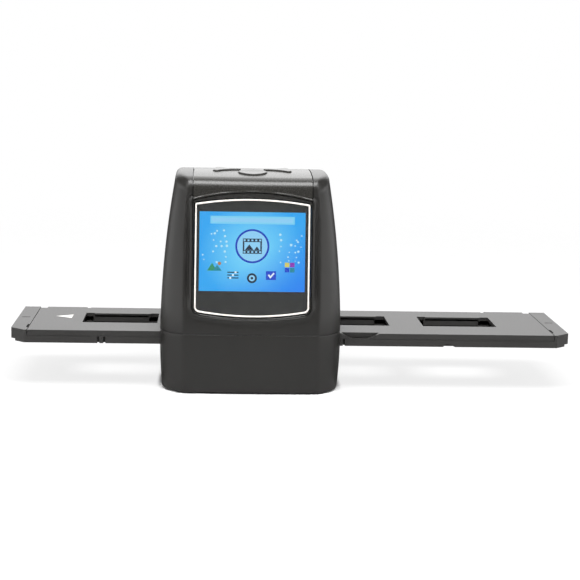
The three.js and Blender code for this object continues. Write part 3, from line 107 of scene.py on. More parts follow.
# Display, measured on the leaning face
DISPLAY_LEVEL = 63.5
RING_WIDTH = 53.4
RING_HEIGHT = 50.218
RING_RISE = 2.4
RING_LINE = 0.9
RING_SLIT = 0.15
RING_HIGH_RISE = 2.2
RING_LOW_ROUND = 2.5
RING_HIGH_ROUND = 1.0
RIM_MARGIN = 0.9
RIM_LOW_ROUND = 4.0
BEZEL_DEPTH = 6.2
OPENING_FROM = -10.0
OPENING_PAST_BEZEL = 4.0
WINDOW_SINK = 0.6
WINDOW_PLATE = 1.2
DOT_CELL = 0.6
PICTURE_GLOW = 0.95
SPECK_DEPTH = 2.045
INK_DEPTHS = (0.03, 0.07)
LIT_WIDTH = 48.96
LIT_HEIGHT = 36.72
PANEL_RAISE = 2.9
BEAD_PROUD = 0.28
BEAD_SIDE_PROUD = 0.45
BEAD_MIDDLE = 0.75
BEAD_SPREAD = 0.42
BEAD_SIDE_SPREAD = 0.16
BEAD_END = 87.0
BEAD_RUN = 3.0
SCOOP_DEPTH = 1.0
SCOOP_MIDDLE = 2.4
SCOOP_SPREAD = 0.8
SCOOP_START = 37.0
SCOOP_RUN = 10.0

# Top cover and its buttons
COVER_WIDTH = 55.2
COVER_EDGE_LEVEL = 93.3
COVER_EDGE_RISE = 3.7
COVER_BACK = 34.0
COVER_SLIT = 0.15
COVER_LIP_PROUD = 0.25
COVER_LIP_MIDDLE = 0.5
COVER_LIP_SPREAD = 0.35
LIP_UP_TO_Y = -25.0
COVER_ROWS_FROM = 68.0
BUTTON_HOLES_FROM = 85.0
BUTTONS = ("ok", "left", "right")
BUTTON_PROUD = 0.69
BUTTON_EDGE = 0.45
FLANGE_REACH = 1.2
FLANGE_LEVEL = 95.9
FLANGE_DROP = 3.0
OK_DISH = 0.3
WING_DISH = 0.12
OK_RADIUS = 6.7
OK_Y = -18.01
WING_TIP_X = 5.6
WING_OUTER_X = 18.5
WING_TIP_FRONT_Y = -9.81
WING_TIP_BACK_Y = -8.21
WING_FRONT_Y = -15.41
WING_BACK_Y = -0.81
WING_ROUND = 2.0
WING_TIP_BULGE = 0.5

# Sockets in the back, each as x, level, width and height
SOCKET_HOLES = {
    "usb": (-22.0, 39.85, 7.8, 3.9),
    "jack": (-10.0, 40.4, 6.4, 5.0),
    "card": (12.0, 39.6, 27.0, 3.4),
}
SOCKET_WALL_Y = 39.3

# Slide holder
HOLDER_UNDERSIDE = 20.95
HOLDER_TOP = 27.0
HOLDER_EDGE = 0.15
WINDOW_PLACES = [-82.45, -30.05, 30.05, 82.45]

# Small forms of the holder, each as x, y, width and depth
INDEX_NOTCHES = [(-100.3, 31.6, 1.9, 3.2), (100.3, 31.6, 1.9, 3.2)]
END_SLOTS = [(-125.2, -19.5, 0.9, 7.5), (125.2, -19.5, 0.9, 7.5)]
END_SLOT_SINK = 1.6
POCKET_RIBS = [(x - 0.7, 15.9, 27.5, 1.6) for x in WINDOW_PLACES]
POCKET_RIB_COVER = 0.9
CLOSING_LIP = (0, -29.1, 251.2, 0.96)
CLOSING_LIP_RISE = (3.1, 3.6)
ARROW = [(-114.4, 6.4), (-106.5, 1.4), (-106.3, 10.8)]

FAR = 200.0
FLOOR_LEVEL = -0.01
FLOOR_SIZE = 3000.0
WHITE = (1, 1, 1, 1)

# Where the floor fades out, in metres from the middle, and where it pales for the camera, in
# metres from the housing's own middle
FLOOR_FADE = (0.25, 0.75)
FLOOR_PALING = (0.042, 0.0445)
PALING_SHARE = 0.8


def linear(code):
    """An sRGB hex colour as linear red, green, blue and alpha."""
    parts = [int(code[place:place + 2], 16) / 255 for place in (1, 3, 5)]
    return (*(p / 12.92 if p <= 0.04045 else ((p + 0.055) / 1.055) ** 2.4 for p in parts), 1.0)


def adder(tree):
    """A function that adds a node to the tree, sets its properties, and gives inputs a value or
    links, by their names or numbers, or in a row from the first on. A node stands for its first
    output in use, and a list is linked one by one. Shader nodes are named without their prefix."""
    def add(kind, links=(), **settings):
        made = tree.nodes.new(kind if "Node" in kind else f"ShaderNode{kind}")
        for name, value in settings.items():
            setattr(made, name, value)
        for name, value in links.items() if isinstance(links, dict) else enumerate(links):
            for source in value if isinstance(value, list) else [value]:
                if isinstance(source, bpy.types.Node):
                    source = next(output for output in source.outputs if output.enabled)
                if isinstance(source, bpy.types.NodeSocket):
                    tree.links.new(source, made.inputs[name])
                else:
                    made.inputs[name].default_value = source
        return made

    return add


def new_material(name):
    """An empty material, what adds a node to it, and the piece's own coordinates."""
    made = bpy.data.materials.new(name)
    made.use_nodes = True
    made.node_tree.nodes.clear()
    add = adder(made.node_tree)
    return made, add, add("TexCoord").outputs["Object"]


def grained(made, tones, clouds, grains, reach, gloss, relief, **sockets):
    """Ends a material: one pattern mixes two near tones, another gives gloss and relief."""
    add = adder(made.node_tree)
    colours = add("Mix", {0: clouds, 6: linear(tones[0]), 7: linear(tones[1])}, data_type="RGBA")
    shine = add("MapRange", (grains, *reach, *gloss))
    bump = add("Bump", {"Height": grains, "Distance": relief * MM})
    surface = add("BsdfPrincipled", {"Base Color": colours, "Roughness": shine, "Normal": bump, **sockets})
    add("OutputMaterial", [surface])
    return made


def moulded(name, tone, shade, roughness, grain, relief, mottle=14.0, spread=0.05, **sockets):
    """A moulded or painted surface: two near tones in soft clouds, a fine grain in the mould's
    steel as bump, and a gloss that varies a little with the grain."""
    made, add, place = new_material(name)
    clouds, grains = (
        add("TexNoise", {"Vector": place, "Scale": 1 / (size * MM), "Detail": 2.0, "Roughness": rough})
        for size, rough in ((mottle, 0.5), (grain, 0.6)))
    return grained(made, (tone, shade), clouds, grains, (0.3, 0.7), (roughness - spread, roughness + spread),
                   relief, **sockets)


def glowing(made, colour, base, roughness, strength):
    """Ends a material that gives light of its own and has no gloss."""
    add = adder(made.node_tree)
    surface = add("BsdfPrincipled", {"Base Color": linear(base), "Roughness": roughness,
                                     "Specular IOR Level": 0.0, "Emission Color": colour,
                                     "Emission Strength": strength})
    add("OutputMaterial", [surface])
    return made


def lit(name, tone, shade):
    """Light that comes through the display: a tone that shimmers a little from dot to dot."""
    made, add, place = new_material(name)
    dots = add("TexNoise", {"Vector": place, "Scale": 1 / (DOT_CELL * MM), "Detail": 1.0})
    colours = add("Mix", {0: dots, 6: linear(tone), 7: linear(shade)}, data_type="RGBA")
    return glowing(made, colours, "#050608", 0.3, PICTURE_GLOW)


# ABS moulded in a spark-eroded tool: a matt warm grey. The real grit of 0.1 mm is too fine to
# show, so it is drawn at 0.5 mm.
housing_abs = moulded("spark_eroded_abs", "#2b2a28", "#262524", 0.33, 0.5, 0.008, mottle=20, IOR=1.54)

# ABS with a satin lacquer over it, which is smoother and a shade lighter than the bare moulding
cover_abs = moulded("satin_lacquered_abs", "#33322f", "#2f2e2c", 0.27, 0.6, 0.001, 24, 0.015, IOR=1.54)

# ABS of the slide holder, with a coarser grain that keeps fingers from slipping
holder_abs = moulded("grained_holder_abs", "#363534", "#302f2e", 0.44, 0.6, 0.05, mottle=16)

# ABS with a semi-gloss finish around the display
bezel_abs = moulded("semi_gloss_abs", "#2d2c2a", "#282826", 0.3, 0.8, 0.003)

# Flat black polycarbonate, which keeps stray light from the sensor
inner_pc = moulded("flat_black_polycarbonate", "#161616", "#121212", 0.8, 0.6, 0.02)

# Opal acrylic of the lamp: milky, with a soft surface
opal_acrylic = moulded("opal_acrylic", "#f2f1ea", "#ebe9e0", 0.5, 1.0, 0.004, **{"Subsurface Weight": 0.3})

# Nylon of the switches and sockets
switch_nylon = moulded("black_nylon", "#1f1f20", "#19191a", 0.55, 0.7, 0.01)

# Thermoplastic rubber of the feet: dull and slightly pitted
foot_rubber = moulded("foot_rubber", "#252525", "#1d1d1d", 0.85, 0.5, 0.03)

# Glass-fibre board under green solder mask
board_mask = moulded("solder_masked_board", "#1f5f3c", "#18492f", 0.4, 2.4, 0.01, mottle=5)

# Polyimide film with copper tracks inside
cable_film = moulded("polyimide_film", "#a5702b", "#8a5a20", 0.35, 3.0, 0.004, mottle=4)

# Screen-printed silver-white lacquer, bright and slightly glossy
ring_lacquer = moulded("silver_white_lacquer", "#f6f1eb", "#ece6df", 0.3, 1.2, 0.002)

# White pad-printed ink on the holder
pad_ink = moulded("white_pad_ink", "#f0eeea", "#e4e2de", 0.5, 0.5, 0.004)

# Black ink printed on the back of the window, which has no gloss of its own behind the acrylic
window_ink = moulded("black_window_ink", "#383835", "#343431", 0.35, 1.5, 0.001, **{"Specular IOR Level": 0.0})


def sheet_metal(name, tone, shade, roughness, line, relief):
    """Rolled or drawn metal: fine lines along the part, and a gloss that varies with them."""
    made, add, place = new_material(name)
    drawn = add("Mapping", {"Vector": place, "Scale": (0.06, 1.0, 1.0)})
    lines = add("TexNoise", {"Vector": drawn, "Scale": 1 / (line * MM), "Detail": 2.0})
    return grained(made, (tone, shade), lines, lines, (0, 1), (roughness - 0.06, roughness + 0.06), relief,
                   Metallic=1.0)


# Tin-plated steel sheet of the sockets, and nickel-plated steel of the screws and pins
tinned_steel = sheet_metal("tin_plated_steel", "#b9bcc0", "#a9acb0", 0.34, 0.4, 0.004)
nickel_steel = sheet_metal("nickel_plated_steel", "#9a9c9f", "#86888b", 0.28, 0.3, 0.003)


def clear_plate(name, tone, ior, roughness, ripple, sheen):
    """A clear plate or lens: it lets the light through and mirrors a little at a glance."""
    made, add, place = new_material(name)
    swell = add("TexNoise", {"Vector": place, "Scale": 1 / (ripple * MM), "Detail": 1.0})
    bump = add("Bump", {"Height": swell, "Distance": 0.0005 * MM, "Strength": 0.3})
    surface = add("BsdfPrincipled", {"Base Color": linear(tone), "Roughness": roughness, "IOR": ior,
                                     "Normal": bump, "Transmission Weight": 1.0, "Specular IOR Level": sheen})
    add("OutputMaterial", [surface])
    return made


# Clear acrylic with a coat against glare of the display window, and the coated glass of the lens
window_acrylic = clear_plate("clear_acrylic", "#fbfdff", 1.49, 0.03, 30.0, 0.15)
lens_glass = clear_plate("coated_lens_glass", "#e8f2ff", 1.52, 0.01, 20.0, 0.4)


def display_glow():
    """The lit panel: sky blue, paler towards its middle and deeper in the lower right corner,
    with a weak diagonal sheen."""
    made, add, place = new_material("lit_liquid_crystal_panel")
    reach = 30.0
    middle = on_face(0, PANEL_RAISE, WINDOW_SINK + WINDOW_PLATE)
    centred = add("Mapping", {"Vector": place, "Location": tuple(-middle / reach),
                              "Scale": (1 / (reach * MM),) * 3})
    away = add("VectorMath", [centred], operation="LENGTH")
    slant = add("VectorMath", [centred, (0.55, 0.0, -0.8)], operation="DOT_PRODUCT")
    glow = add("ValToRGB", {"Fac": away})
    for stop, share, tone in zip(glow.color_ramp.elements, (0.0, 0.8), ("#7fe0ff", "#2aa8f4")):
        stop.position, stop.color = share, linear(tone)
    deep = add("MapRange", (slant, 0.1, 0.95, 0.0, 0.85))
    colours = add("Mix", {0: deep, 6: glow, 7: linear("#1577f2")}, data_type="RGBA")
    return glowing(made, colours, "#06080c", 0.25, 1.0)


# The housing's form, as in the part's source

def half_width_at(level):
    above = level > WIDEST_LEVEL
    reach = np.where(above, HOUSING_HEIGHT - WIDEST_LEVEL, WIDEST_LEVEL)
    narrow = np.where(above, HOUSING_TOP_WIDTH, HOUSING_UNDER_WIDTH)
    return (HOUSING_WIDTH - (HOUSING_WIDTH - narrow) * ((level - WIDEST_LEVEL) / reach) ** 2) / 2


def front_at(level):
    crease = FACE_BOW - HOUSING_DEPTH / 2
    slope = math.tan(FRONT_LEAN)
    turning = slope * (level - LEAN_START) ** 2 / (LEAN_FULL - LEAN_START) / 2
    straight = slope * (level - (LEAN_START + LEAN_FULL) / 2)
    under = FRONT_TUCK * (np.maximum(0, WIDEST_LEVEL - level) / WIDEST_LEVEL) ** 2
    return crease + np.where(level > LEAN_FULL, straight, np.where(level > LEAN_START, turning, under))


def back_at(level):
    away = (level - WIDEST_LEVEL) / (HOUSING_HEIGHT - WIDEST_LEVEL)
    return HOUSING_DEPTH / 2 - FACE_BOW - BACK_DRAW * away ** 2


def top_at(y):
    return HOUSING_HEIGHT - DOME_DROP * ((y - DOME_PEAK) / (HOUSING_DEPTH / 2 - DOME_PEAK)) ** 2


def bowed(x, half):
    return FACE_BOW * (1 - (x / half) ** 2)


def crease_at(level):
    up = np.maximum(0, level - CREASE_DRAW_START) / (HOUSING_HEIGHT - CREASE_DRAW_START)
    return CREASE_X - CREASE_DRAW * up ** 2


def bezier(share, *points):
    """A quadratic or cubic curve through control points, each a pair of numbers or arrays."""
    degree = len(points) - 1
    weights = [math.comb(degree, k) * share ** k * (1 - share) ** (degree - k) for k in range(degree + 1)]
    return [sum(weight * point[axis] for weight, point in zip(weights, points)) for axis in (0, 1)]


def quarter(steps):
    """A quarter round in steps: how far each is along, and how far it still has to go across."""
    turns = [math.pi / 2 * step / steps for step in range(steps + 1)]
    return [(1 - math.cos(turn), 1 - math.sin(turn)) for turn in turns]


def spaced(start, *runs):
    """Values from a start through runs, each with its end and its number of even steps."""
    values = [start]
    for end, steps in runs:
        values += [*np.linspace(values[-1], end, steps + 1)[1:]]
    return values


FACE, CREASE, CHEEK, SIDE, REAR, BACK = range(6)
FIRST_CHEEK_SHARE = 0.06


def stations(face, crease, cheek, side, rear, back):
    """The places around the housing's plan, on its right half and then mirrored: the part of the
    outline, the share along it, and the side."""
    half = [(FACE, share) for share in face]
    half += [(CREASE, k / crease) for k in range(crease)]
    half += [(CHEEK, FIRST_CHEEK_SHARE + (1 - FIRST_CHEEK_SHARE) * k / cheek) for k in range(cheek)]
    half += [(part, k / count) for part, count in ((SIDE, side), (REAR, rear)) for k in range(count)]
    half += [(BACK, k / back) for k in range(back + 1)]
    mirrored = half[1:-1][::-1]
    part, share = np.array(half + mirrored).T
    return part, share, np.array([1.0] * len(half) + [-1.0] * len(mirrored))


# Columns are close together where the bead around the display runs
BEAD_FROM = 0.8
columns = spaced(0, (BEAD_FROM, 28), (1, 30))[:-1]
PART, SHARE, SIGN = stations(face=columns, crease=4, cheek=18, side=10, rear=12, back=12)
FRONT = PART <= CREASE


def plan(level, inset, tuck=0.0):
    """The housing's outline at one level, or at one level for each station."""
    level = np.broadcast_to(np.asarray(level, float), SHARE.shape)
    side = half_width_at(level) - inset
    front = front_at(level) + inset + tuck
    back = back_at(level) - inset
    crease = crease_at(level)
    pull = (side - crease) * PULL_SHARE
    lead = crease - CREASE_SOFT

    def cheek(at):
        return bezier(at, (crease, front), (crease + pull, front + pull * math.tan(CREASE_TURN)),
                      (side, front + CORNER_DEPTH * PULL_SHARE), (side, front + CORNER_DEPTH))

    ways = {
        FACE: (SHARE * lead, front - bowed(SHARE * lead, crease)),
        CREASE: bezier(SHARE, (lead, front - bowed(lead, crease)), (crease, front), cheek(FIRST_CHEEK_SHARE)),
        CHEEK: cheek(SHARE),
        SIDE: (side, front + CORNER_DEPTH + (back - front - 2 * CORNER_DEPTH) * SHARE),
        REAR: bezier(SHARE, (side, back - CORNER_DEPTH), (side, back - CORNER_DEPTH * PULL_SHARE),
                     (BACK_TURN_X + (side - BACK_TURN_X) * BACK_PULL_SHARE, back), (BACK_TURN_X, back)),
        BACK: (BACK_TURN_X * (1 - SHARE), back + bowed(BACK_TURN_X * (1 - SHARE), BACK_TURN_X)),
    }
    x, y = (np.select([PART == way for way in ways], [pair[axis] for pair in ways.values()]) for axis in (0, 1))
    return x * SIGN, y


def form_sizes(inset):
    """The rounds of the crown and the lower edge, and the underside's level."""
    crown, under = (max(size - inset, size * LEAST_ROUND_SHARE) for size in (CROWN_ROUND, UNDER_ROUND))
    return crown, under, UNDERSIDE + inset


def ring_at(height, inset):
    """The outline at one height, or at one height for each station."""
    height = np.broadcast_to(np.asarray(height, float), SHARE.shape)
    return np.stack([*plan(height, inset), height], axis=1)


def brow(inset):
    """Where the wall meets the crown's round, and that round, which is wider along the front."""
    front = front_at(HOUSING_HEIGHT) + inset
    away = np.clip((plan(HOUSING_HEIGHT, inset)[1] - front) / CORNER_DEPTH, 0, 1)
    rounds = form_sizes(inset)[0] + CROWN_FRONT_EXTRA * (1 + np.cos(np.pi * away)) / 2
    level = HOUSING_HEIGHT
    for _ in range(3):
        level = top_at(plan(level, inset)[1]) - inset - rounds
    return level, rounds


def brow_rows(inset, crown_rows, cap_rows):
    """The rounded crown and the domed top, down to a small ring at the middle."""
    level, rounds = brow(inset)
    rows = []
    for turn, rest in quarter(crown_rows)[1:]:
        x, y = plan(level, inset + form_sizes(inset)[0] * turn, CROWN_FRONT_EXTRA * turn)
        rows.append(np.stack([x, y, top_at(y) - inset - rounds * rest], axis=1))
    edge = rows[-1]
    middle = (edge[:, 1].min() + edge[:, 1].max()) / 2
    for step in range(1, cap_rows):
        spread = 1 - step / cap_rows
        y = middle + (edge[:, 1] - middle) * spread
        rows.append(np.stack([edge[:, 0] * spread, y, top_at(y) - inset], axis=1))
    return rows


def wall_rows(inset, start, shares):
    """Rows from a flat start up to just under the crown, at given shares or in even steps."""
    shares = np.linspace(0, 1, shares + 1) if isinstance(shares, int) else shares
    level = brow(inset)[0]
    return [ring_at(start + (level - start) * share, inset) for share in shares]


def under_rows(inset, count, floor_rows):
    """The underside, from a small ring at its middle out to the rounded lower edge."""
    _, under, low = form_sizes(inset)
    rows = [ring_at(low + under * turn, inset + under * rest) for turn, rest in quarter(count)[:-1]]
    return [rows[0] * [step / floor_rows, step / floor_rows, 1] for step in range(1, floor_rows)] + rows


# The face that carries the display

def on_face(across, up, depth):
    """A point that is given on the leaning face, in the housing's own frame."""
    cos, sin = math.cos(FRONT_LEAN), math.sin(FRONT_LEAN)
    y = depth * cos + up * sin + front_at(DISPLAY_LEVEL)
    z = up * cos - depth * sin + DISPLAY_LEVEL
    return np.stack(np.broadcast_arrays(np.asarray(across, float) + HOUSING_X, y, z), axis=-1)


def arched(half, low, high, low_rise, high_rise, low_round, high_round):
    """A frame outline with arched upper and lower edges and rounded corners."""
    def arc(edge, rise, corner):
        return edge + rise * (1 - ((half - corner) / half) ** 2)

    low_end, high_end = arc(low, -low_rise, low_round), arc(high, high_rise, high_round)
    right = [((half - low_round, low_end), (half, low), (half, low + low_round), 8),
             ((half, low + low_round), (half, (low + high) / 2), (half, high - high_round), 24),
             ((half, high - high_round), (half, high), (half - high_round, high_end), 8)]
    over = ((half - high_round, high_end), (0, 2 * (high + high_rise) - high_end),
            (high_round - half, high_end), 40)
    left = [(*[(-x, y) for x, y in run[2::-1]], run[3]) for run in right[::-1]]
    under = ((low_round - half, low_end), (0, 2 * (low - low_rise) - low_end), (half - low_round, low_end), 40)
    return np.concatenate([np.stack(bezier(np.arange(steps) / steps, *points), axis=1)
                           for *points, steps in [*right, over, *left, under]])


def ring_outline(shrink):
    half, edge = RING_WIDTH / 2 - shrink, RING_HEIGHT / 2 - shrink
    rounds = [max(size - shrink, size * LEAST_ROUND_SHARE) for size in (RING_LOW_ROUND, RING_HIGH_ROUND)]
    return arched(half, -edge, edge, RING_RISE, RING_HIGH_RISE, *rounds)


def rim_outline(grow):
    """The display opening's outline, whose upper edge follows the top cover."""
    half, low = (size / 2 + RIM_MARGIN + grow for size in (RING_WIDTH, RING_HEIGHT))
    high = (COVER_EDGE_LEVEL - COVER_EDGE_RISE - DISPLAY_LEVEL) / math.cos(FRONT_LEAN) - GAP + grow
    return arched(half, -low, high, RING_RISE, COVER_EDGE_RISE, RIM_LOW_ROUND, RING_HIGH_ROUND)


def distance_to(outline, points):
    """How far points lie from a closed outline, negative inside it."""
    starts, ends = outline, np.roll(outline, -1, axis=0)
    run = ends - starts
    rel = points[:, None, :] - starts[None]
    share = np.clip((rel * run).sum(2) / (run ** 2).sum(1), 0, 1)
    nearest = np.linalg.norm(rel - share[..., None] * run, axis=2).min(axis=1)
    x, y = points[:, :1], points[:, 1:]
    crosses = (starts[:, 1] > y) != (ends[:, 1] > y)
    with np.errstate(divide="ignore", invalid="ignore"):
        at = starts[:, 0] + (y - starts[:, 1]) / run[:, 1] * run[:, 0]
    inside = (crosses & (x < at)).sum(axis=1) % 2 == 1
    return np.where(inside, -nearest, nearest)


def beaded(rows):
    """Raises a rounded bead around the display's opening, with a shallow channel outside it."""
    outline = rim_outline(0)
    for row in rows:
        height = row[FRONT, 2]
        points = np.stack([row[FRONT, 0], (height - DISPLAY_LEVEL) / math.cos(FRONT_LEAN)], axis=1)
        away = distance_to(outline, points)
        fade = np.clip((height - SCOOP_START) / SCOOP_RUN, 0.1, 1)
        end = np.clip((BEAD_END - height) / BEAD_RUN, 0, 1)
        spread = BEAD_SPREAD + BEAD_SIDE_SPREAD * fade
        bead = end * (BEAD_PROUD + BEAD_SIDE_PROUD * fade) * np.exp(-((away - BEAD_MIDDLE) / spread) ** 2)
        scoop = fade * SCOOP_DEPTH * np.exp(-((away - SCOOP_MIDDLE) / SCOOP_SPREAD) ** 2)
        row[FRONT, 1] += np.where(away > 0, scoop - bead, 0)
    return rows


# Meshes

def mesh_piece(name, solid, material, smooth=35.0):
    """A mesh object in the part's frame from a solid's points, in millimetres, and faces."""
    mesh = bpy.data.meshes.new(name)
    mesh.from_pydata([tuple(point) for point in np.asarray(solid[0]) * MM], [], solid[1])
    mesh.validate()
    mesh.materials.append(material)
    return tidy_normals(in_scene(name, mesh), smooth)


def in_scene(name, data):
    made = bpy.data.objects.new(name, data)
    bpy.context.scene.collection.objects.link(made)
    return made


def tidy_normals(piece, smooth=35.0, recalculate=True):
    """Turns faces outwards where that is asked for, and marks edges past an angle as sharp."""
    work = bmesh.new()
    work.from_mesh(piece.data)
    if recalculate:
        bmesh.ops.recalc_face_normals(work, faces=work.faces)
    for edge in work.edges:
        edge.smooth = len(edge.link_faces) != 2 or edge.calc_face_angle(0) < math.radians(smooth)
    for face in work.faces:
        face.smooth = True
    work.to_mesh(piece.data)
    work.free()
    piece.data.update()
    return piece


def quads(rows, count, wrap=False):
    """Faces between closed rows of points, and from the last row to the first where they wrap."""
    faces = []
    for row in range(rows if wrap else rows - 1):
        here, there = row * count, (row + 1) % rows * count
        faces += [(here + k, here + (k + 1) % count, there + (k + 1) % count, there + k) for k in range(count)]
    return faces


def skin(rows):
    """Closed skin over rows of points, with a hub at each end."""
    count = len(rows[0])
    points = np.concatenate(rows + [rows[0].mean(axis=0)[None], rows[-1].mean(axis=0)[None]])
    first, last, end = len(points) - 2, len(points) - 1, (len(rows) - 1) * count
    faces = quads(len(rows), count)
    for k in range(count):
        after = (k + 1) % count
        faces += [(first, after, k), (last, end + k, end + after)]
    return points, faces


def placed(solid):
    """A solid moved from the housing's own middle to the housing's place."""
    return np.asarray(solid[0]) + [HOUSING_X, 0, 0], solid[1]


def prism(outline, low, high):
    """An upright prism over an outline of x and y."""
    count = len(outline)
    points = np.array([(x, y, z) for z in (low, high) for x, y in outline], float)
    return points, [tuple(range(count))[::-1], tuple(range(count, 2 * count))] + quads(2, count)


def prism_across(outline, front, back):
    """A prism along y over an outline of x and z."""
    points, faces = prism(outline, front, back)
    return points[:, [0, 2, 1]], faces


def prism_on_face(outline, front, back):
    """A prism square to the leaning face, over an outline on that face."""
    points, faces = prism(outline, front, back)
    return on_face(*points.T), faces


def circle(x, y, radius, sides=48):
    angles = np.arange(sides) * 2 * np.pi / sides
    return np.stack([x + radius * np.cos(angles), y + radius * np.sin(angles)], axis=1)


def rectangle(x, y, width, height):
    corners = [(-1, -1), (1, -1), (1, 1), (-1, 1)]
    return np.array([(x + side * width / 2, y + end * height / 2) for side, end in corners])


def bake(piece):
    """Turns the piece's modifiers into plain mesh."""
    graph = bpy.context.evaluated_depsgraph_get()
    mesh = bpy.data.meshes.new_from_object(piece.evaluated_get(graph))
    old = piece.data
    piece.modifiers.clear()
    piece.data = mesh
    mesh.name = piece.name
    bpy.data.meshes.remove(old)
    return piece


def carve(piece, tools, operation="DIFFERENCE"):
    """Cuts, joins or limits a piece by closed solids, one after another."""
    for solid in tools:
        tool = mesh_piece("tool", solid, piece.data.materials[0])
        step = piece.modifiers.new("cut", "BOOLEAN")
        step.operation, step.solver, step.object = operation, "MANIFOLD", tool
        bake(piece)
        bpy.data.objects.remove(tool)
    return piece


def stand_for(piece, body, slot, *nodes):
    """The piece moves with a body, and shows in place of its solids."""
    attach(piece, body)
    if nodes:
        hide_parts(*nodes)
    return piece


# Housing mouldings

def lip_rows(start, way):
    """The small round between a moulding's flat rim and its outer wall, upwards or downwards."""
    return [ring_at(start + way * LIP_ROUND * up, LIP_ROUND * rest) for up, rest in quarter(3)]


def upper_moulding():
    start = PARTING_LEVEL + PARTING_GAP
    shares = spaced(0, (0.07, 5), (0.19, 34), (0.86, 48), (1, 13))
    outer = beaded(lip_rows(start, 1) + wall_rows(0, start + LIP_ROUND, shares)[1:]) + brow_rows(0, 10, 20)
    inner = wall_rows(SHELL_WALL, start, 24) + brow_rows(SHELL_WALL, 3, 8)
    shell = mesh_piece("upper_housing", placed(skin(inner[::-1] + outer)), housing_abs)
    opening = prism_on_face(rim_outline(GAP), OPENING_FROM, BEZEL_DEPTH + OPENING_PAST_BEZEL)
    sockets = [placed(prism_across(rectangle(x, z, width + 2 * GAP, height + 2 * GAP), SOCKET_WALL_Y, FAR))
               for x, z, width, height in SOCKET_HOLES.values()]
    return carve(shell, [cover_recess(), opening, *sockets])


def band_outline(grow):
    """The top cover's outline as it is seen from the front: straight sides and an arched lower edge."""
    half = COVER_WIDTH / 2 + grow
    ends = COVER_EDGE_LEVEL - COVER_EDGE_RISE - grow
    share = np.linspace(0, 1, 61)
    edge = np.stack(bezier(share, (-half, ends), (0, ends + 2 * COVER_EDGE_RISE), (half, ends)), axis=1)
    return np.concatenate([edge, [[half, FAR], [-half, FAR]]])


def cover_recess():
    """What is cut from the upper housing for the top cover: its band, less the seat under it."""
    inset = COVER_WALL + GAP
    start = UNDERSIDE + inset + form_sizes(inset)[1]
    seat = skin(under_rows(inset, 3, 3) + wall_rows(inset, start, 60) + brow_rows(inset, 5, 16))
    band = placed(prism_across(band_outline(GAP), -FAR, COVER_BACK + GAP))
    piece = carve(mesh_piece("recess", band, housing_abs), [placed(seat)])
    mesh = piece.data
    solid = np.array([v.co for v in mesh.vertices]) / MM, [tuple(f.vertices) for f in mesh.polygons]
    bpy.data.objects.remove(piece)
    return solid


def base_moulding():
    start, lip = UNDERSIDE + form_sizes(0)[1], PARTING_LEVEL - LIP_ROUND
    outer = under_rows(0, 5, 6) + [ring_at(start + (lip - start) * step / 24, 0) for step in range(24)]
    outer += lip_rows(PARTING_LEVEL, -1)[::-1]
    inner = under_rows(BASE_WALL, 3, 3)
    floor = inner[-1][0][2]
    inner += [ring_at(floor + (PARTING_LEVEL - floor) * step / 8, BASE_WALL) for step in range(1, 9)]
    shell = mesh_piece("base_housing", placed(skin(outer + inner[::-1])), housing_abs)
    tunnel = np.array([[TUNNEL_FRONT, TUNNEL_FLOOR], [TUNNEL_BACK, TUNNEL_FLOOR],
                       [TUNNEL_BACK, FAR], [TUNNEL_FRONT, FAR]])
    points, faces = prism(tunnel, -FAR, FAR)
    carve(shell, [(points[:, [2, 0, 1]], faces)])

    def post(place, radius, sides, low, high):
        return placed(prism(circle(*place, radius, sides), low, high))

    carve(shell, [post(place, BOSS_RADIUS, 24, FOOT_STAND + BOSS_RISE, PARTING_LEVEL - BOSS_TOP_GAP)
                  for place in SCREW_PLACES], "UNION")
    holes = []
    for place in SCREW_PLACES:
        holes += [post(place, BOSS_HOLE_RADIUS, 24, -1, FAR),
                  post(place, SCREW_HEAD_RADIUS + GAP, 32, -1, FOOT_STAND + SCREW_SINK)]
    holes += [post(place, FOOT_RADIUS + GAP, 48, -1, FOOT_STAND + FOOT_RECESS) for place in FOOT_PLACES]
    return carve(shell, holes)


def wing(side, grow):
    """A wing-shaped button's outline: narrow at its tip, deep at its outer end."""
    tip, outer, turn = WING_TIP_X, WING_OUTER_X, WING_ROUND
    front, back, near, far = WING_FRONT_Y, WING_BACK_Y, WING_TIP_FRONT_Y, WING_TIP_BACK_Y
    share, few = np.arange(16) / 16, np.arange(6) / 6
    runs = [
        (share, (tip, near), ((tip + outer) / 2, near), (outer - turn, front)),
        (few, (outer - turn, front), (outer, front), (outer, front + turn)),
        (few, (outer, front + turn), (outer - turn / 4, (front + back) / 2), (outer - turn / 2, back - turn)),
        (few, (outer - turn / 2, back - turn), (outer - turn / 2, back), (outer - 2 * turn, back)),
        (share, (outer - 2 * turn, back), ((tip + outer) / 2, far), (tip, far)),
        (few[:3] * 2, (tip, far), (tip - WING_TIP_BULGE, (far + near) / 2), (tip, near)),
    ]
    outline = offset(np.concatenate([np.stack(bezier(at, *points), axis=1) for at, *points in runs]), grow)
    return outline if side > 0 else outline[::-1] * [-1, 1]


def offset(outline, distance):
    """An outline, given anticlockwise, moved outwards by an even distance."""
    before = outline - np.roll(outline, 1, axis=0)
    after = np.roll(outline, -1, axis=0) - outline
    before /= np.linalg.norm(before, axis=1)[:, None]
    after /= np.linalg.norm(after, axis=1)[:, None]
    along = before + after
    along /= np.linalg.norm(along, axis=1)[:, None]
    square = np.maximum((along * after).sum(axis=1), PULL_SHARE)
    normal = np.stack([along[:, 1], -along[:, 0]], axis=1)
    return outline + normal * (distance / square)[:, None]


def button_outline(name, grow=0.0):
    if name == "ok":
        return circle(0, OK_Y, OK_RADIUS + grow, 72)
    return wing(1 if name == "right" else -1, grow)


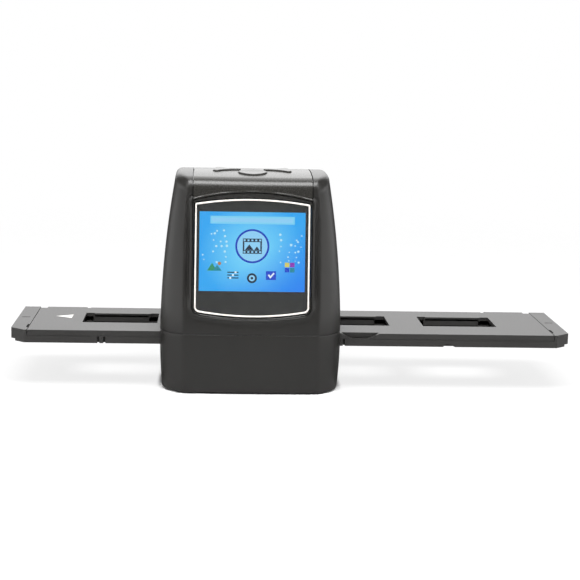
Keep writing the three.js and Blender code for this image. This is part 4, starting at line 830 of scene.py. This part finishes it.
def top_cover():
    """The cover over the top, cut from the housing's skin, with a bead along its lower edge."""
    outer = wall_rows(0, COVER_ROWS_FROM, spaced(0, (0.8, 10), (1, 43))) + brow_rows(0, 24, 24)
    for row in outer:
        x, y, height = row[FRONT].T
        over = height - COVER_EDGE_LEVEL + COVER_EDGE_RISE * (x / (COVER_WIDTH / 2)) ** 2
        lip = COVER_LIP_PROUD * np.exp(-((over - COVER_LIP_MIDDLE) / COVER_LIP_SPREAD) ** 2)
        row[FRONT, 1] -= np.where(y < LIP_UP_TO_Y, lip, 0)
    inner = wall_rows(COVER_WALL, COVER_ROWS_FROM, 30) + brow_rows(COVER_WALL, 5, 16)
    cover = mesh_piece("top_panel", placed(skin(inner[::-1] + outer)), cover_abs)
    carve(cover, [placed(prism_across(band_outline(-COVER_SLIT), -FAR, COVER_BACK - COVER_SLIT))], "INTERSECT")
    return carve(cover, [placed(prism(button_outline(name, GAP), BUTTON_HOLES_FROM, FAR)) for name in BUTTONS])


for piece, slot, node in ((upper_moulding(), "housing_plastic", "upper_shell"),
                          (base_moulding(), "housing_plastic", "base_shell"),
                          (top_cover(), "cover_plastic", "top_cover")):
    stand_for(tidy_normals(piece, 30, recalculate=False), "housing", slot, node)


# Bezel, ring, printed border and picture of the display

def face_loft(name, inner, outer, profile, material, smooth=40.0):
    """A frame on the leaning face: its section is a closed loop of shares between two outlines
    and depths, and it follows the bow of the face where the section says so."""
    points = []
    for share, depth, bow in profile:
        x, y = (inner + (outer - inner) * share).T
        crease = crease_at(DISPLAY_LEVEL + y * math.cos(FRONT_LEAN))
        points.append(on_face(x, y, depth - bow * bowed(x, crease)))
    return mesh_piece(name, (np.concatenate(points), quads(len(profile), len(inner), True)), material, smooth)


rim_section = [(0.0, 0.15, 0), (0.04, 0.03, 0), (0.15, 0.0, 0.3), (0.75, 0.0, 0.8), (0.92, 0.06, 1),
               (1.0, 0.25, 1), (1.0, BEZEL_DEPTH, 0), (0.0, BEZEL_DEPTH, 0)]
bezel = face_loft("display_bezel_frame", ring_outline(-GAP - RING_SLIT), rim_outline(0), rim_section, bezel_abs)
stand_for(bezel, "housing", "bezel_black", "display_bezel")

ring_section = [(0.0, 0.25, 0), (0.0, -0.12, 0), (0.15, -0.26, 0), (0.5, -0.3, 0), (0.85, -0.26, 0),
                (1.0, -0.12, 0), (1.0, 0.25, 0)]
ring = face_loft("display_surround", ring_outline(RING_LINE), ring_outline(RING_SLIT), ring_section,
                 ring_lacquer)
stand_for(ring, "housing", "silver_trim", "display_ring")


def by_angle(outline, count, centre=(0.0, 0.0)):
    """An outline's points at even angles around a centre."""
    rel = np.concatenate([outline, outline[:1]]) - centre
    dense = np.concatenate([np.linspace(a, b, 40, endpoint=False) for a, b in zip(rel[:-1], rel[1:])])
    order = np.argsort(np.arctan2(dense[:, 1], dense[:, 0]))
    turns = np.arctan2(dense[:, 1], dense[:, 0])[order]
    want = np.linspace(-np.pi, np.pi, count, endpoint=False)
    radius = np.interp(want, turns, np.linalg.norm(dense[order], axis=1), period=2 * np.pi)
    return np.stack([radius * np.cos(want), radius * np.sin(want)], axis=1) + centre


lit_outline = rectangle(0, PANEL_RAISE, LIT_WIDTH, LIT_HEIGHT)
near, deep = (WINDOW_SINK + WINDOW_PLATE + depth for depth in INK_DEPTHS)
ink_section = [(0, near, 0), (1, near, 0), (1, deep, 0), (0, deep, 0)]
ink = face_loft("window_border_print", by_angle(lit_outline, 720, (0, PANEL_RAISE)),
                by_angle(ring_outline(0.2), 720, (0, PANEL_RAISE)), ink_section, window_ink, 60)
stand_for(ink, "housing", "bezel_black")


# Picture on the display: thin lit shapes between the panel and the window, one layer on another

LAYERS = [(2.07 - 0.05 * layer, 2.03 - 0.05 * layer) for layer in range(5)]
LIT_TONES = {
    "deep_blue": ("#0c3fc4", "#0b3ab6"),
    "pale_sky": ("#99daff", "#8ed4fb"),
    "ink_blue": ("#0b1d35", "#0e2440"),
    "bar_light": ("#86dcfc", "#7cd6fa"),
    "white": ("#f2fbff", "#e4f6ff"),
    "leaf_green": ("#2f9d6c", "#298f66"),
    "sea_green": ("#1f93a4", "#1a8699"),
    "clay_orange": ("#c08152", "#b3754a"),
    "royal_blue": ("#1f4fd8", "#1a46c8"),
    "plum": ("#9a35bd", "#8b2fae"),
    "straw": ("#e3d970", "#d8cc60"),
}


def picture_shapes():
    """The layer, tone and outline of each shape. A bare bar is above a round badge with a film
    frame in it, and five small signs stand in an arc below."""
    level = 2.6
    shapes = [(0, "bar_light", rectangle(0, 14.6, 39, 3.6)), (1, "pale_sky", rectangle(0, 14.6, 37.4, 2.0)),
              (0, "deep_blue", circle(0, level, 7.9, 64)), (1, "pale_sky", circle(0, level, 7.0, 64)),
              (2, "ink_blue", rectangle(0, level, 8.8, 7.0)), (3, "pale_sky", rectangle(0, level, 7.4, 3.8)),
              (4, "ink_blue", np.array([(-3.4, 0.8), (0.6, 0.8), (-1.4, 3.4)])),
              (4, "ink_blue", np.array([(0.9, 0.8), (3.4, 0.8), (2.1, 2.5)]))]
    shapes += [(3, "pale_sky", rectangle(x, level + rise, 0.9, 0.8))
               for x in np.arange(-3.6, 3.7, 1.8) for rise in (-2.7, 2.7)]
    arc = [(x, 0.017 * x ** 2 - 12.2) for x in (-17.4, -8.8, 0.0, 8.8, 17.4)]
    hills, sliders, iris, tick, chart = arc
    shapes += [(0, "leaf_green", np.array([(-3.4, -1.9), (1.2, -1.9), (-1.1, 1.7)]) + hills),
               (1, "sea_green", np.array([(-0.8, -1.9), (3.4, -1.9), (1.3, 0.8)]) + hills),
               (0, "clay_orange", circle(hills[0] + 2.3, hills[1] + 1.5, 0.8, 24)),
               (0, "ink_blue", circle(*iris, 2.3, 40)), (1, "pale_sky", circle(*iris, 1.4, 32)),
               (2, "ink_blue", circle(*iris, 0.6, 24)), (0, "royal_blue", rectangle(*tick, 4.7, 4.1)),
               (1, "white", np.array([(-1.5, 0.1), (-0.9, 0.6), (-0.3, -0.2), (1.2, 1.4), (1.7, 0.9),
                                      (-0.3, -1.4)]) + tick)]
    for row in (-1, 0, 1):
        x, y = sliders[0], sliders[1] + 1.3 * row
        shapes += [(0, "ink_blue", rectangle(x, y, 5.2, 0.5)),
                   (1, "white", rectangle(x + 1.2 * row, y, 0.9, 0.9))]
    for number, tone in enumerate(("plum", "straw", "sea_green", "royal_blue")):
        place = np.array(chart) + [1.2 * (-1) ** number, 1.2 * (-1) ** (number // 2)]
        shapes.append((0, tone, rectangle(*place, 2.1, 2.1)))
    return shapes


def gathered(solids):
    """Several closed meshes as one list of points and one of faces."""
    points, faces = [], []
    for corners, sides in solids:
        faces += [tuple(corner + len(points) for corner in side) for side in sides]
        points.extend(corners)
    return np.array(points), faces


picture = picture_shapes()
for tone, pair in LIT_TONES.items():
    solids = [prism_on_face(outline + [0, PANEL_RAISE], *LAYERS[layer])
              for layer, name, outline in picture if name == tone]
    shape = mesh_piece(f"picture_{tone}", gathered(solids), lit(f"lit_{tone}", *pair))
    stand_for(shape, "housing", "lcd_glass")


# Pieces that geometry trees make from a few bare points

CUT = {"operation": "DIFFERENCE", "solver": "MANIFOLD"}


def new_tree(name, *labels):
    """A geometry tree with named inputs, what adds a node to it, and what its first node gives."""
    tree = bpy.data.node_groups.new(name, "GeometryNodeTree")
    kinds = {"Points": "Geometry", "Seed": "Int", "Material": "Material"}
    for label in ("Points", *labels, "Material"):
        tree.interface.new_socket(label, in_out="INPUT", socket_type=f"NodeSocket{kinds.get(label, 'Float')}")
    tree.interface.new_socket("Result", in_out="OUTPUT", socket_type="NodeSocketGeometry")
    add = adder(tree)
    return tree, add, add("NodeGroupInput").outputs


def finish_tree(tree, given, piece, **placing):
    """The end of every tree: the piece at each point, real geometry in place of instances, and
    its material."""
    add = adder(tree)
    rows = add("GeometryNodeInstanceOnPoints", {"Points": given["Points"], "Instance": piece, **placing})
    real = add("GeometryNodeRealizeInstances", [rows])
    add("NodeGroupOutput", [add("GeometryNodeSetMaterial", {0: real, "Material": given["Material"]})])
    return tree


def run_tree(name, tree, places, values):
    """A plain mesh that a tree makes at the given places."""
    mesh = bpy.data.meshes.new(name)
    mesh.from_pydata([tuple(place) for place in np.asarray(places, float) * MM], [], [])
    made = in_scene(name, mesh)
    step = made.modifiers.new("tree", "NODES")
    step.node_group = tree
    for item in tree.interface.items_tree:
        if item.in_out == "INPUT" and item.name in values:
            step[item.identifier] = values[item.name]
    return tidy_normals(bake(made))


def speck_tree():
    """Small lit discs strewn over a sheet of points: each is moved, sized and kept by chance."""
    tree, add, given = new_tree("strewn_specks", "Disc Radius", "Thickness", "Stray", "Kept Share",
                                "Seed", "Lean")
    disc = add("GeometryNodeMeshCylinder",
               {"Vertices": 10, "Radius": given["Disc Radius"], "Depth": given["Thickness"]})
    kept = add("FunctionNodeRandomValue", {6: given["Kept Share"], 8: given["Seed"]}, data_type="BOOLEAN")
    back = add("Math", [given["Stray"], -1.0], operation="MULTIPLY")
    ends = [add("CombineXYZ", {0: reach, 2: reach}) for reach in (back, given["Stray"])]
    stray = add("FunctionNodeRandomValue", {0: ends[0], 1: ends[1], 8: given["Seed"]}, data_type="FLOAT_VECTOR")
    size = add("FunctionNodeRandomValue", {2: 0.35, 3: 1.0, 8: given["Seed"]}, data_type="FLOAT")
    lean = add("CombineXYZ", [given["Lean"]])
    moved = add("GeometryNodeSetPosition", {"Geometry": given["Points"], "Offset": stray})
    return finish_tree(tree, given, disc, Points=moved, Selection=kept, Rotation=lean, Scale=size)


def screw_tree():
    """Screws that stand head down: a domed head with a cross recess, and a plain shank."""
    tree, add, given = new_tree("cross_head_screws", "Head Radius", "Head Height", "Shank Radius",
                                "Shank Length", "Recess Width", "Recess Depth")
    rim, reach, half_head, high_head, half_shank, deep = (
        add("Math", [given[label], share], operation="MULTIPLY")
        for label, share in (("Head Radius", 0.72), ("Head Radius", 1.1), ("Head Height", 0.5),
                             ("Head Height", 0.75), ("Shank Length", 0.5), ("Recess Depth", 2.0)))
    parts = [add("GeometryNodeMeshCone", {"Vertices": 32, "Radius Top": given["Head Radius"],
                                          "Radius Bottom": rim, "Depth": half_head})]
    for sides, radius, depth, middle in ((32, given["Head Radius"], half_head, high_head),
                                         (20, given["Shank Radius"], given["Shank Length"], half_shank)):
        rod = add("GeometryNodeMeshCylinder", {"Vertices": sides, "Radius": radius, "Depth": depth})
        lift = add("CombineXYZ", {2: middle})
        parts.append(add("GeometryNodeTransform", {"Geometry": rod, "Translation": lift}))
    whole = add("GeometryNodeMeshBoolean", {"Mesh 2": parts}, operation="UNION", solver="MANIFOLD")
    blades = [add("GeometryNodeMeshCube", {"Size": add("CombineXYZ", [wide, narrow, deep])})
              for wide, narrow in ((reach, given["Recess Width"]), (given["Recess Width"], reach))]
    return finish_tree(tree, given, add("GeometryNodeMeshBoolean", {"Mesh 1": whole, "Mesh 2": blades}, **CUT))


def foot_tree():
    """Round feet with a groove in the face that stands on the table."""
    tree, add, given = new_tree("grooved_feet", "Radius", "Height", "Groove Radius", "Groove Width",
                                "Groove Depth")
    half, deep = (add("Math", [given[label], share], operation="MULTIPLY")
                  for label, share in (("Height", 0.5), ("Groove Depth", 2.0)))
    inner = add("Math", [given["Groove Radius"], given["Groove Width"]], operation="SUBTRACT")
    pad, rim, core = (
        add("GeometryNodeMeshCylinder", {"Vertices": 56, "Radius": radius, "Depth": depth})
        for radius, depth in ((given["Radius"], given["Height"]), (given["Groove Radius"], deep),
                              (inner, deep)))
    raised = add("GeometryNodeTransform", {"Geometry": pad, "Translation": add("CombineXYZ", {2: half})})
    groove = add("GeometryNodeMeshBoolean", {"Mesh 1": rim, "Mesh 2": core}, **CUT)
    return finish_tree(tree, given, add("GeometryNodeMeshBoolean", {"Mesh 1": raised, "Mesh 2": groove}, **CUT))


# Specks of light strewn left and right of the badge
speck_rows = [on_face(x, y + PANEL_RAISE, SPECK_DEPTH) for side in (-1, 1)
              for x in side * np.arange(12.4, 22.2, 2.4) for y in np.arange(-4.6, 12.0, 2.4)]
specks = run_tree("picture_specks", speck_tree(), speck_rows, {
    "Disc Radius": 0.65 * MM, "Thickness": 0.04 * MM, "Stray": 0.9 * MM, "Kept Share": 0.6, "Seed": 11,
    "Lean": math.pi / 2 - FRONT_LEAN, "Material": lit("lit_speck", "#c4efff", "#aee8ff")})
stand_for(specks, "housing", "lcd_glass")

# Screws and feet under the base
screw_low, screw_high = (corner[2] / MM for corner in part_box("base_screw_1"))
screws = run_tree("base_screws", screw_tree(), [(x + HOUSING_X, y, screw_low) for x, y in SCREW_PLACES], {
    "Head Radius": SCREW_HEAD_RADIUS * MM, "Head Height": SCREW_HEAD_HEIGHT * MM,
    "Shank Radius": 1.1 * MM, "Shank Length": (screw_high - screw_low) * MM,
    "Recess Width": 0.55 * MM, "Recess Depth": 0.9 * MM, "Material": nickel_steel})
stand_for(screws, "housing", "steel", *[f"base_screw_{number}" for number in (1, 2, 3, 4)])
feet = run_tree("rubber_feet", foot_tree(), [(x + HOUSING_X, y, 0) for x, y in FOOT_PLACES], {
    "Radius": FOOT_RADIUS * MM, "Height": (FOOT_STAND + FOOT_RECESS) * MM, "Groove Radius": 3.4 * MM,
    "Groove Width": 0.8 * MM, "Groove Depth": 0.4 * MM, "Material": foot_rubber})
stand_for(feet, "housing", "foot_rubber", *[f"rubber_foot_{number}" for number in (1, 2, 3, 4)])


# Buttons

def button(name):
    """A button's cap: a flange under the cover, a rounded edge and a slightly dished face."""
    outline, grown = (button_outline(name, grow) for grow in (0.0, FLANGE_REACH))
    middle = outline.mean(axis=0)

    def ring(points, drop):
        return np.column_stack([points, top_at(points[:, 1]) - drop])

    rows = []
    for share in (0.2, 0.6, 1.0):
        under = middle + (grown - middle) * share
        rows.append(np.column_stack([under, np.full(len(under), FLANGE_LEVEL)]))
    rows += [ring(grown, FLANGE_DROP), ring(outline, FLANGE_DROP)]
    rows += [ring(offset(outline, -BUTTON_EDGE * turn), BUTTON_EDGE * rest - BUTTON_PROUD)
             for turn, rest in quarter(4)]
    edge = offset(outline, -BUTTON_EDGE)
    dish = OK_DISH if name == "ok" else WING_DISH
    for spread in 1 - np.arange(1, 10) / 10:
        rows.append(ring(middle + (edge - middle) * spread, dish * (1 - spread ** 2) - BUTTON_PROUD))
    return mesh_piece(f"{name}_key_cap", placed(skin(rows)), cover_abs, 50)


for name in BUTTONS:
    stand_for(button(name), f"{name}_key", "cover_plastic", f"{name}_button")


# Slide holder, from its solids with softened edges

def coat(piece, material):
    piece.data.materials.clear()
    piece.data.materials.append(material)


def softened(node, name, cuts):
    """A copy of a solid, with its flats joined, its edges rounded and small cuts made."""
    made = in_scene(name, NODES[node].data.copy())
    coat(made, holder_abs)
    work = bmesh.new()
    work.from_mesh(made.data)
    bmesh.ops.remove_doubles(work, verts=work.verts, dist=0.002 * MM)
    bmesh.ops.dissolve_limit(work, angle_limit=math.radians(1), verts=work.verts, edges=work.edges)
    work.to_mesh(made.data)
    work.free()
    step = made.modifiers.new("edges", "BEVEL")
    step.width, step.segments = HOLDER_EDGE * MM, 2
    step.limit_method, step.angle_limit = "ANGLE", math.radians(40)
    tidy_normals(carve(bake(made), cuts), 35, recalculate=False)
    made.modifiers.new("flats", "WEIGHTED_NORMAL").keep_sharp = True
    return bake(made)


index_notches = [prism(rectangle(*notch), 0, FAR) for notch in INDEX_NOTCHES]
end_slots = [prism(rectangle(*slot), HOLDER_TOP - END_SLOT_SINK, FAR) for slot in END_SLOTS]
for node, name, cuts in (("holder_frame", "holder_lower_half", end_slots + index_notches),
                         ("holder_cover", "holder_upper_half", index_notches)):
    stand_for(softened(node, name, cuts), "slide_holder", "holder_plastic", node)

# A lip along the near edge, on which the halves close, ribs at the back of each pocket, which push
# a slide mount forwards against its stop, and a printed arrow, which shows the way in
closing_lip = prism(rectangle(*CLOSING_LIP), *[HOLDER_UNDERSIDE + rise for rise in CLOSING_LIP_RISE])
ribs = [prism(rectangle(*rib), HOLDER_UNDERSIDE + POCKET_RIB_COVER, HOLDER_TOP - POCKET_RIB_COVER)
        for rib in POCKET_RIBS]
arrow = prism(ARROW, HOLDER_TOP - 0.02, HOLDER_TOP + 0.03)
for name, solid, material in (("holder_closing_lip", closing_lip, holder_abs),
                              ("pocket_ribs", gathered(ribs), holder_abs),
                              ("holder_arrow_print", arrow, pad_ink)):
    stand_for(mesh_piece(name, solid, material), "slide_holder", "holder_plastic")


# Finishes of the solids that stay as they are

FINISHES = {
    inner_pc: ["guide_tray", "film_gate", "optics_chimney", "lens_barrel"],
    nickel_steel: ["detent_spring", "holder_hinge_pin_left", "holder_hinge_pin_right"],
    tinned_steel: ["usb_socket", "card_socket", "lcd_backlight"],
    opal_acrylic: ["light_box", "diffuser", "ok_switch_stem", "left_switch_stem", "right_switch_stem"],
    board_mask: ["led_board", "sensor_board", "main_board", "button_board"],
    cable_film: ["display_cable"],
    switch_nylon: ["video_jack", "ok_switch", "left_switch", "right_switch"],
    window_acrylic: ["display_window"],
    lens_glass: ["lens_glass"],
    display_glow(): ["lcd_panel"],
}
for material, names in FINISHES.items():
    for name in names:
        coat(NODES[name], material)


# Floor, light and camera

def floor_material():
    """Plain white paper that fades into the white surroundings away from the object. In a reflection its colour
    is a painted shade, a mid grey, so that the object mirrors a dim floor."""
    made, add, place = new_material("white_paper_sweep")
    path = add("LightPath")
    # Painted shade: for glossy rays the paper is mid grey instead of white
    tone = add("Mix", {0: path.outputs["Is Glossy Ray"], 6: linear("#f7f7f7"), 7: linear("#888888")},
               data_type="RGBA")
    paper_dimmed_in_reflections = add("BsdfDiffuse", {"Color": tone})
    clear = add("BsdfTransparent")
    white = add("Emission", {"Color": WHITE, "Strength": 1.0})
    away = add("VectorMath", [place], operation="LENGTH")
    axes = add("SeparateXYZ", [place])
    beside = add("Math", [axes, HOUSING_X * MM], operation="SUBTRACT")
    reach = [add("Math", [value], operation="ABSOLUTE") for value in (beside, axes.outputs["Y"])]
    clear_of = add("Math", reach, operation="MAXIMUM")
    fade, open_floor = (
        add("MapRange", (value, *span, 0.0, high), interpolation_type="SMOOTHSTEP")
        for value, span, high in ((away, FLOOR_FADE, 1.0), (clear_of, FLOOR_PALING, PALING_SHARE)))
    share = add("Math", [path.outputs["Is Camera Ray"], open_floor], operation="MULTIPLY")
    paled = add("MixShader", [share, paper_dimmed_in_reflections, white])
    mixed = add("MixShader", [fade, paled, clear])
    add("OutputMaterial", [mixed])
    return made


corners = [(*corner, FLOOR_LEVEL) for corner in rectangle(0, 0, FLOOR_SIZE, FLOOR_SIZE)]
mesh_piece("paper_floor", (corners, [(0, 1, 2, 3)]), floor_material())


def surroundings():
    """White all round for what looks at it straight or through glass. In a reflection there is a
    tall white sweep behind, a low band of light at each side, and a dim room in front."""
    world = bpy.data.worlds.new("studio")
    bpy.context.scene.world = world
    world.use_nodes = True
    world.node_tree.nodes.clear()
    add = adder(world.node_tree)
    path = add("LightPath")
    way = add("TexCoord").outputs["Generated"]
    parts = add("SeparateXYZ", [way])
    up, back = parts.outputs["Z"], parts.outputs["Y"]
    sideways = add("Math", [parts.outputs["X"]], operation="ABSOLUTE")
    ranges = [add("MapRange", values, interpolation_type="SMOOTHSTEP") for values in (
        (up, -0.02, 0.12, 0.1, 2.0), (up, 0.3, 0.8, 1.0, 1.25), (up, -0.1, 0.0, 0.15, 2.0),
        (up, 0.03, 0.12, 1.0, 0.1), (sideways, 0.5, 1.0, 0.05, 1.0), (back, -0.1, 0.5, 0.0, 1.0),
        (sideways, 0.2, 0.6, 1.0, 0.0))]
    sweep, band, behind = (add("Math", pair, operation="MULTIPLY")
                           for pair in (ranges[0:2], ranges[2:4], ranges[5:7]))
    bands = add("Math", [band, ranges[4]], operation="MULTIPLY")
    mirrored = add("Mix", {0: behind, 2: bands, 3: sweep}, data_type="FLOAT")
    white, soft, studio = (add("Background", {"Color": WHITE, "Strength": strength})
                           for strength in (1.0, 0.45, mirrored))
    glossy = add("MixShader", [path.outputs["Is Glossy Ray"], soft, studio])
    seen = add("Math", [path.outputs["Is Camera Ray"], path.outputs["Is Transmission Ray"]],
               operation="MAXIMUM")
    final = add("MixShader", [seen, glossy, white])
    add("OutputWorld", [final])


surroundings()

for name, place, target, size, power in (
        ("softbox_above", (-0.02, -0.36, 1.0), (-0.02, -0.02, 0.06), (0.9, 0.46), 13.0),
        ("softbox_left", (-1.0, -0.5, 0.8), (-0.02, 0, 0.05), (0.8, 0.8), 3.2),
        ("softbox_right", (0.96, -0.5, 0.8), (-0.02, 0, 0.05), (0.8, 0.8), 3.2)):
    data = bpy.data.lights.new(name, "AREA")
    data.shape, data.energy = "RECTANGLE", power
    data.size, data.size_y = size
    lamp = in_scene(name, data)
    lamp.location = place
    lamp.rotation_euler = (Vector(target) - Vector(place)).to_track_quat("-Z", "Y").to_euler()

# Camera, fitted to the corners of the display and the holder's windows: its place is in
# millimetres, and its focal length in picture widths
CAMERA_PLACE = (-38.623, -741.16, 164.961)
CAMERA_YAW = math.radians(2.961)
CAMERA_PITCH = math.radians(-9.372)
CAMERA_ROLL = math.radians(1.226)
CAMERA_FOCUS = 1539.71 / 580


def photographer():
    yaw, pitch, roll = CAMERA_YAW, CAMERA_PITCH, CAMERA_ROLL
    ahead = Vector((math.sin(yaw) * math.cos(pitch), math.cos(yaw) * math.cos(pitch), math.sin(pitch)))
    level = Vector((math.cos(yaw), -math.sin(yaw), 0))
    upward = level.cross(ahead)
    right = math.cos(roll) * level + math.sin(roll) * upward
    up = math.cos(roll) * upward - math.sin(roll) * level
    data = bpy.data.cameras.new("camera")
    data.sensor_width = 36.0
    data.lens = CAMERA_FOCUS * data.sensor_width
    data.clip_start, data.clip_end = 0.05, 20
    camera = in_scene("camera", data)
    turn = Matrix((right, up, -ahead)).transposed()
    camera.matrix_world = Matrix.Translation(Vector(CAMERA_PLACE) * MM) @ turn.to_4x4()
    bpy.context.scene.camera = camera


photographer()
bpy.context.scene.view_settings.view_transform = "Standard"
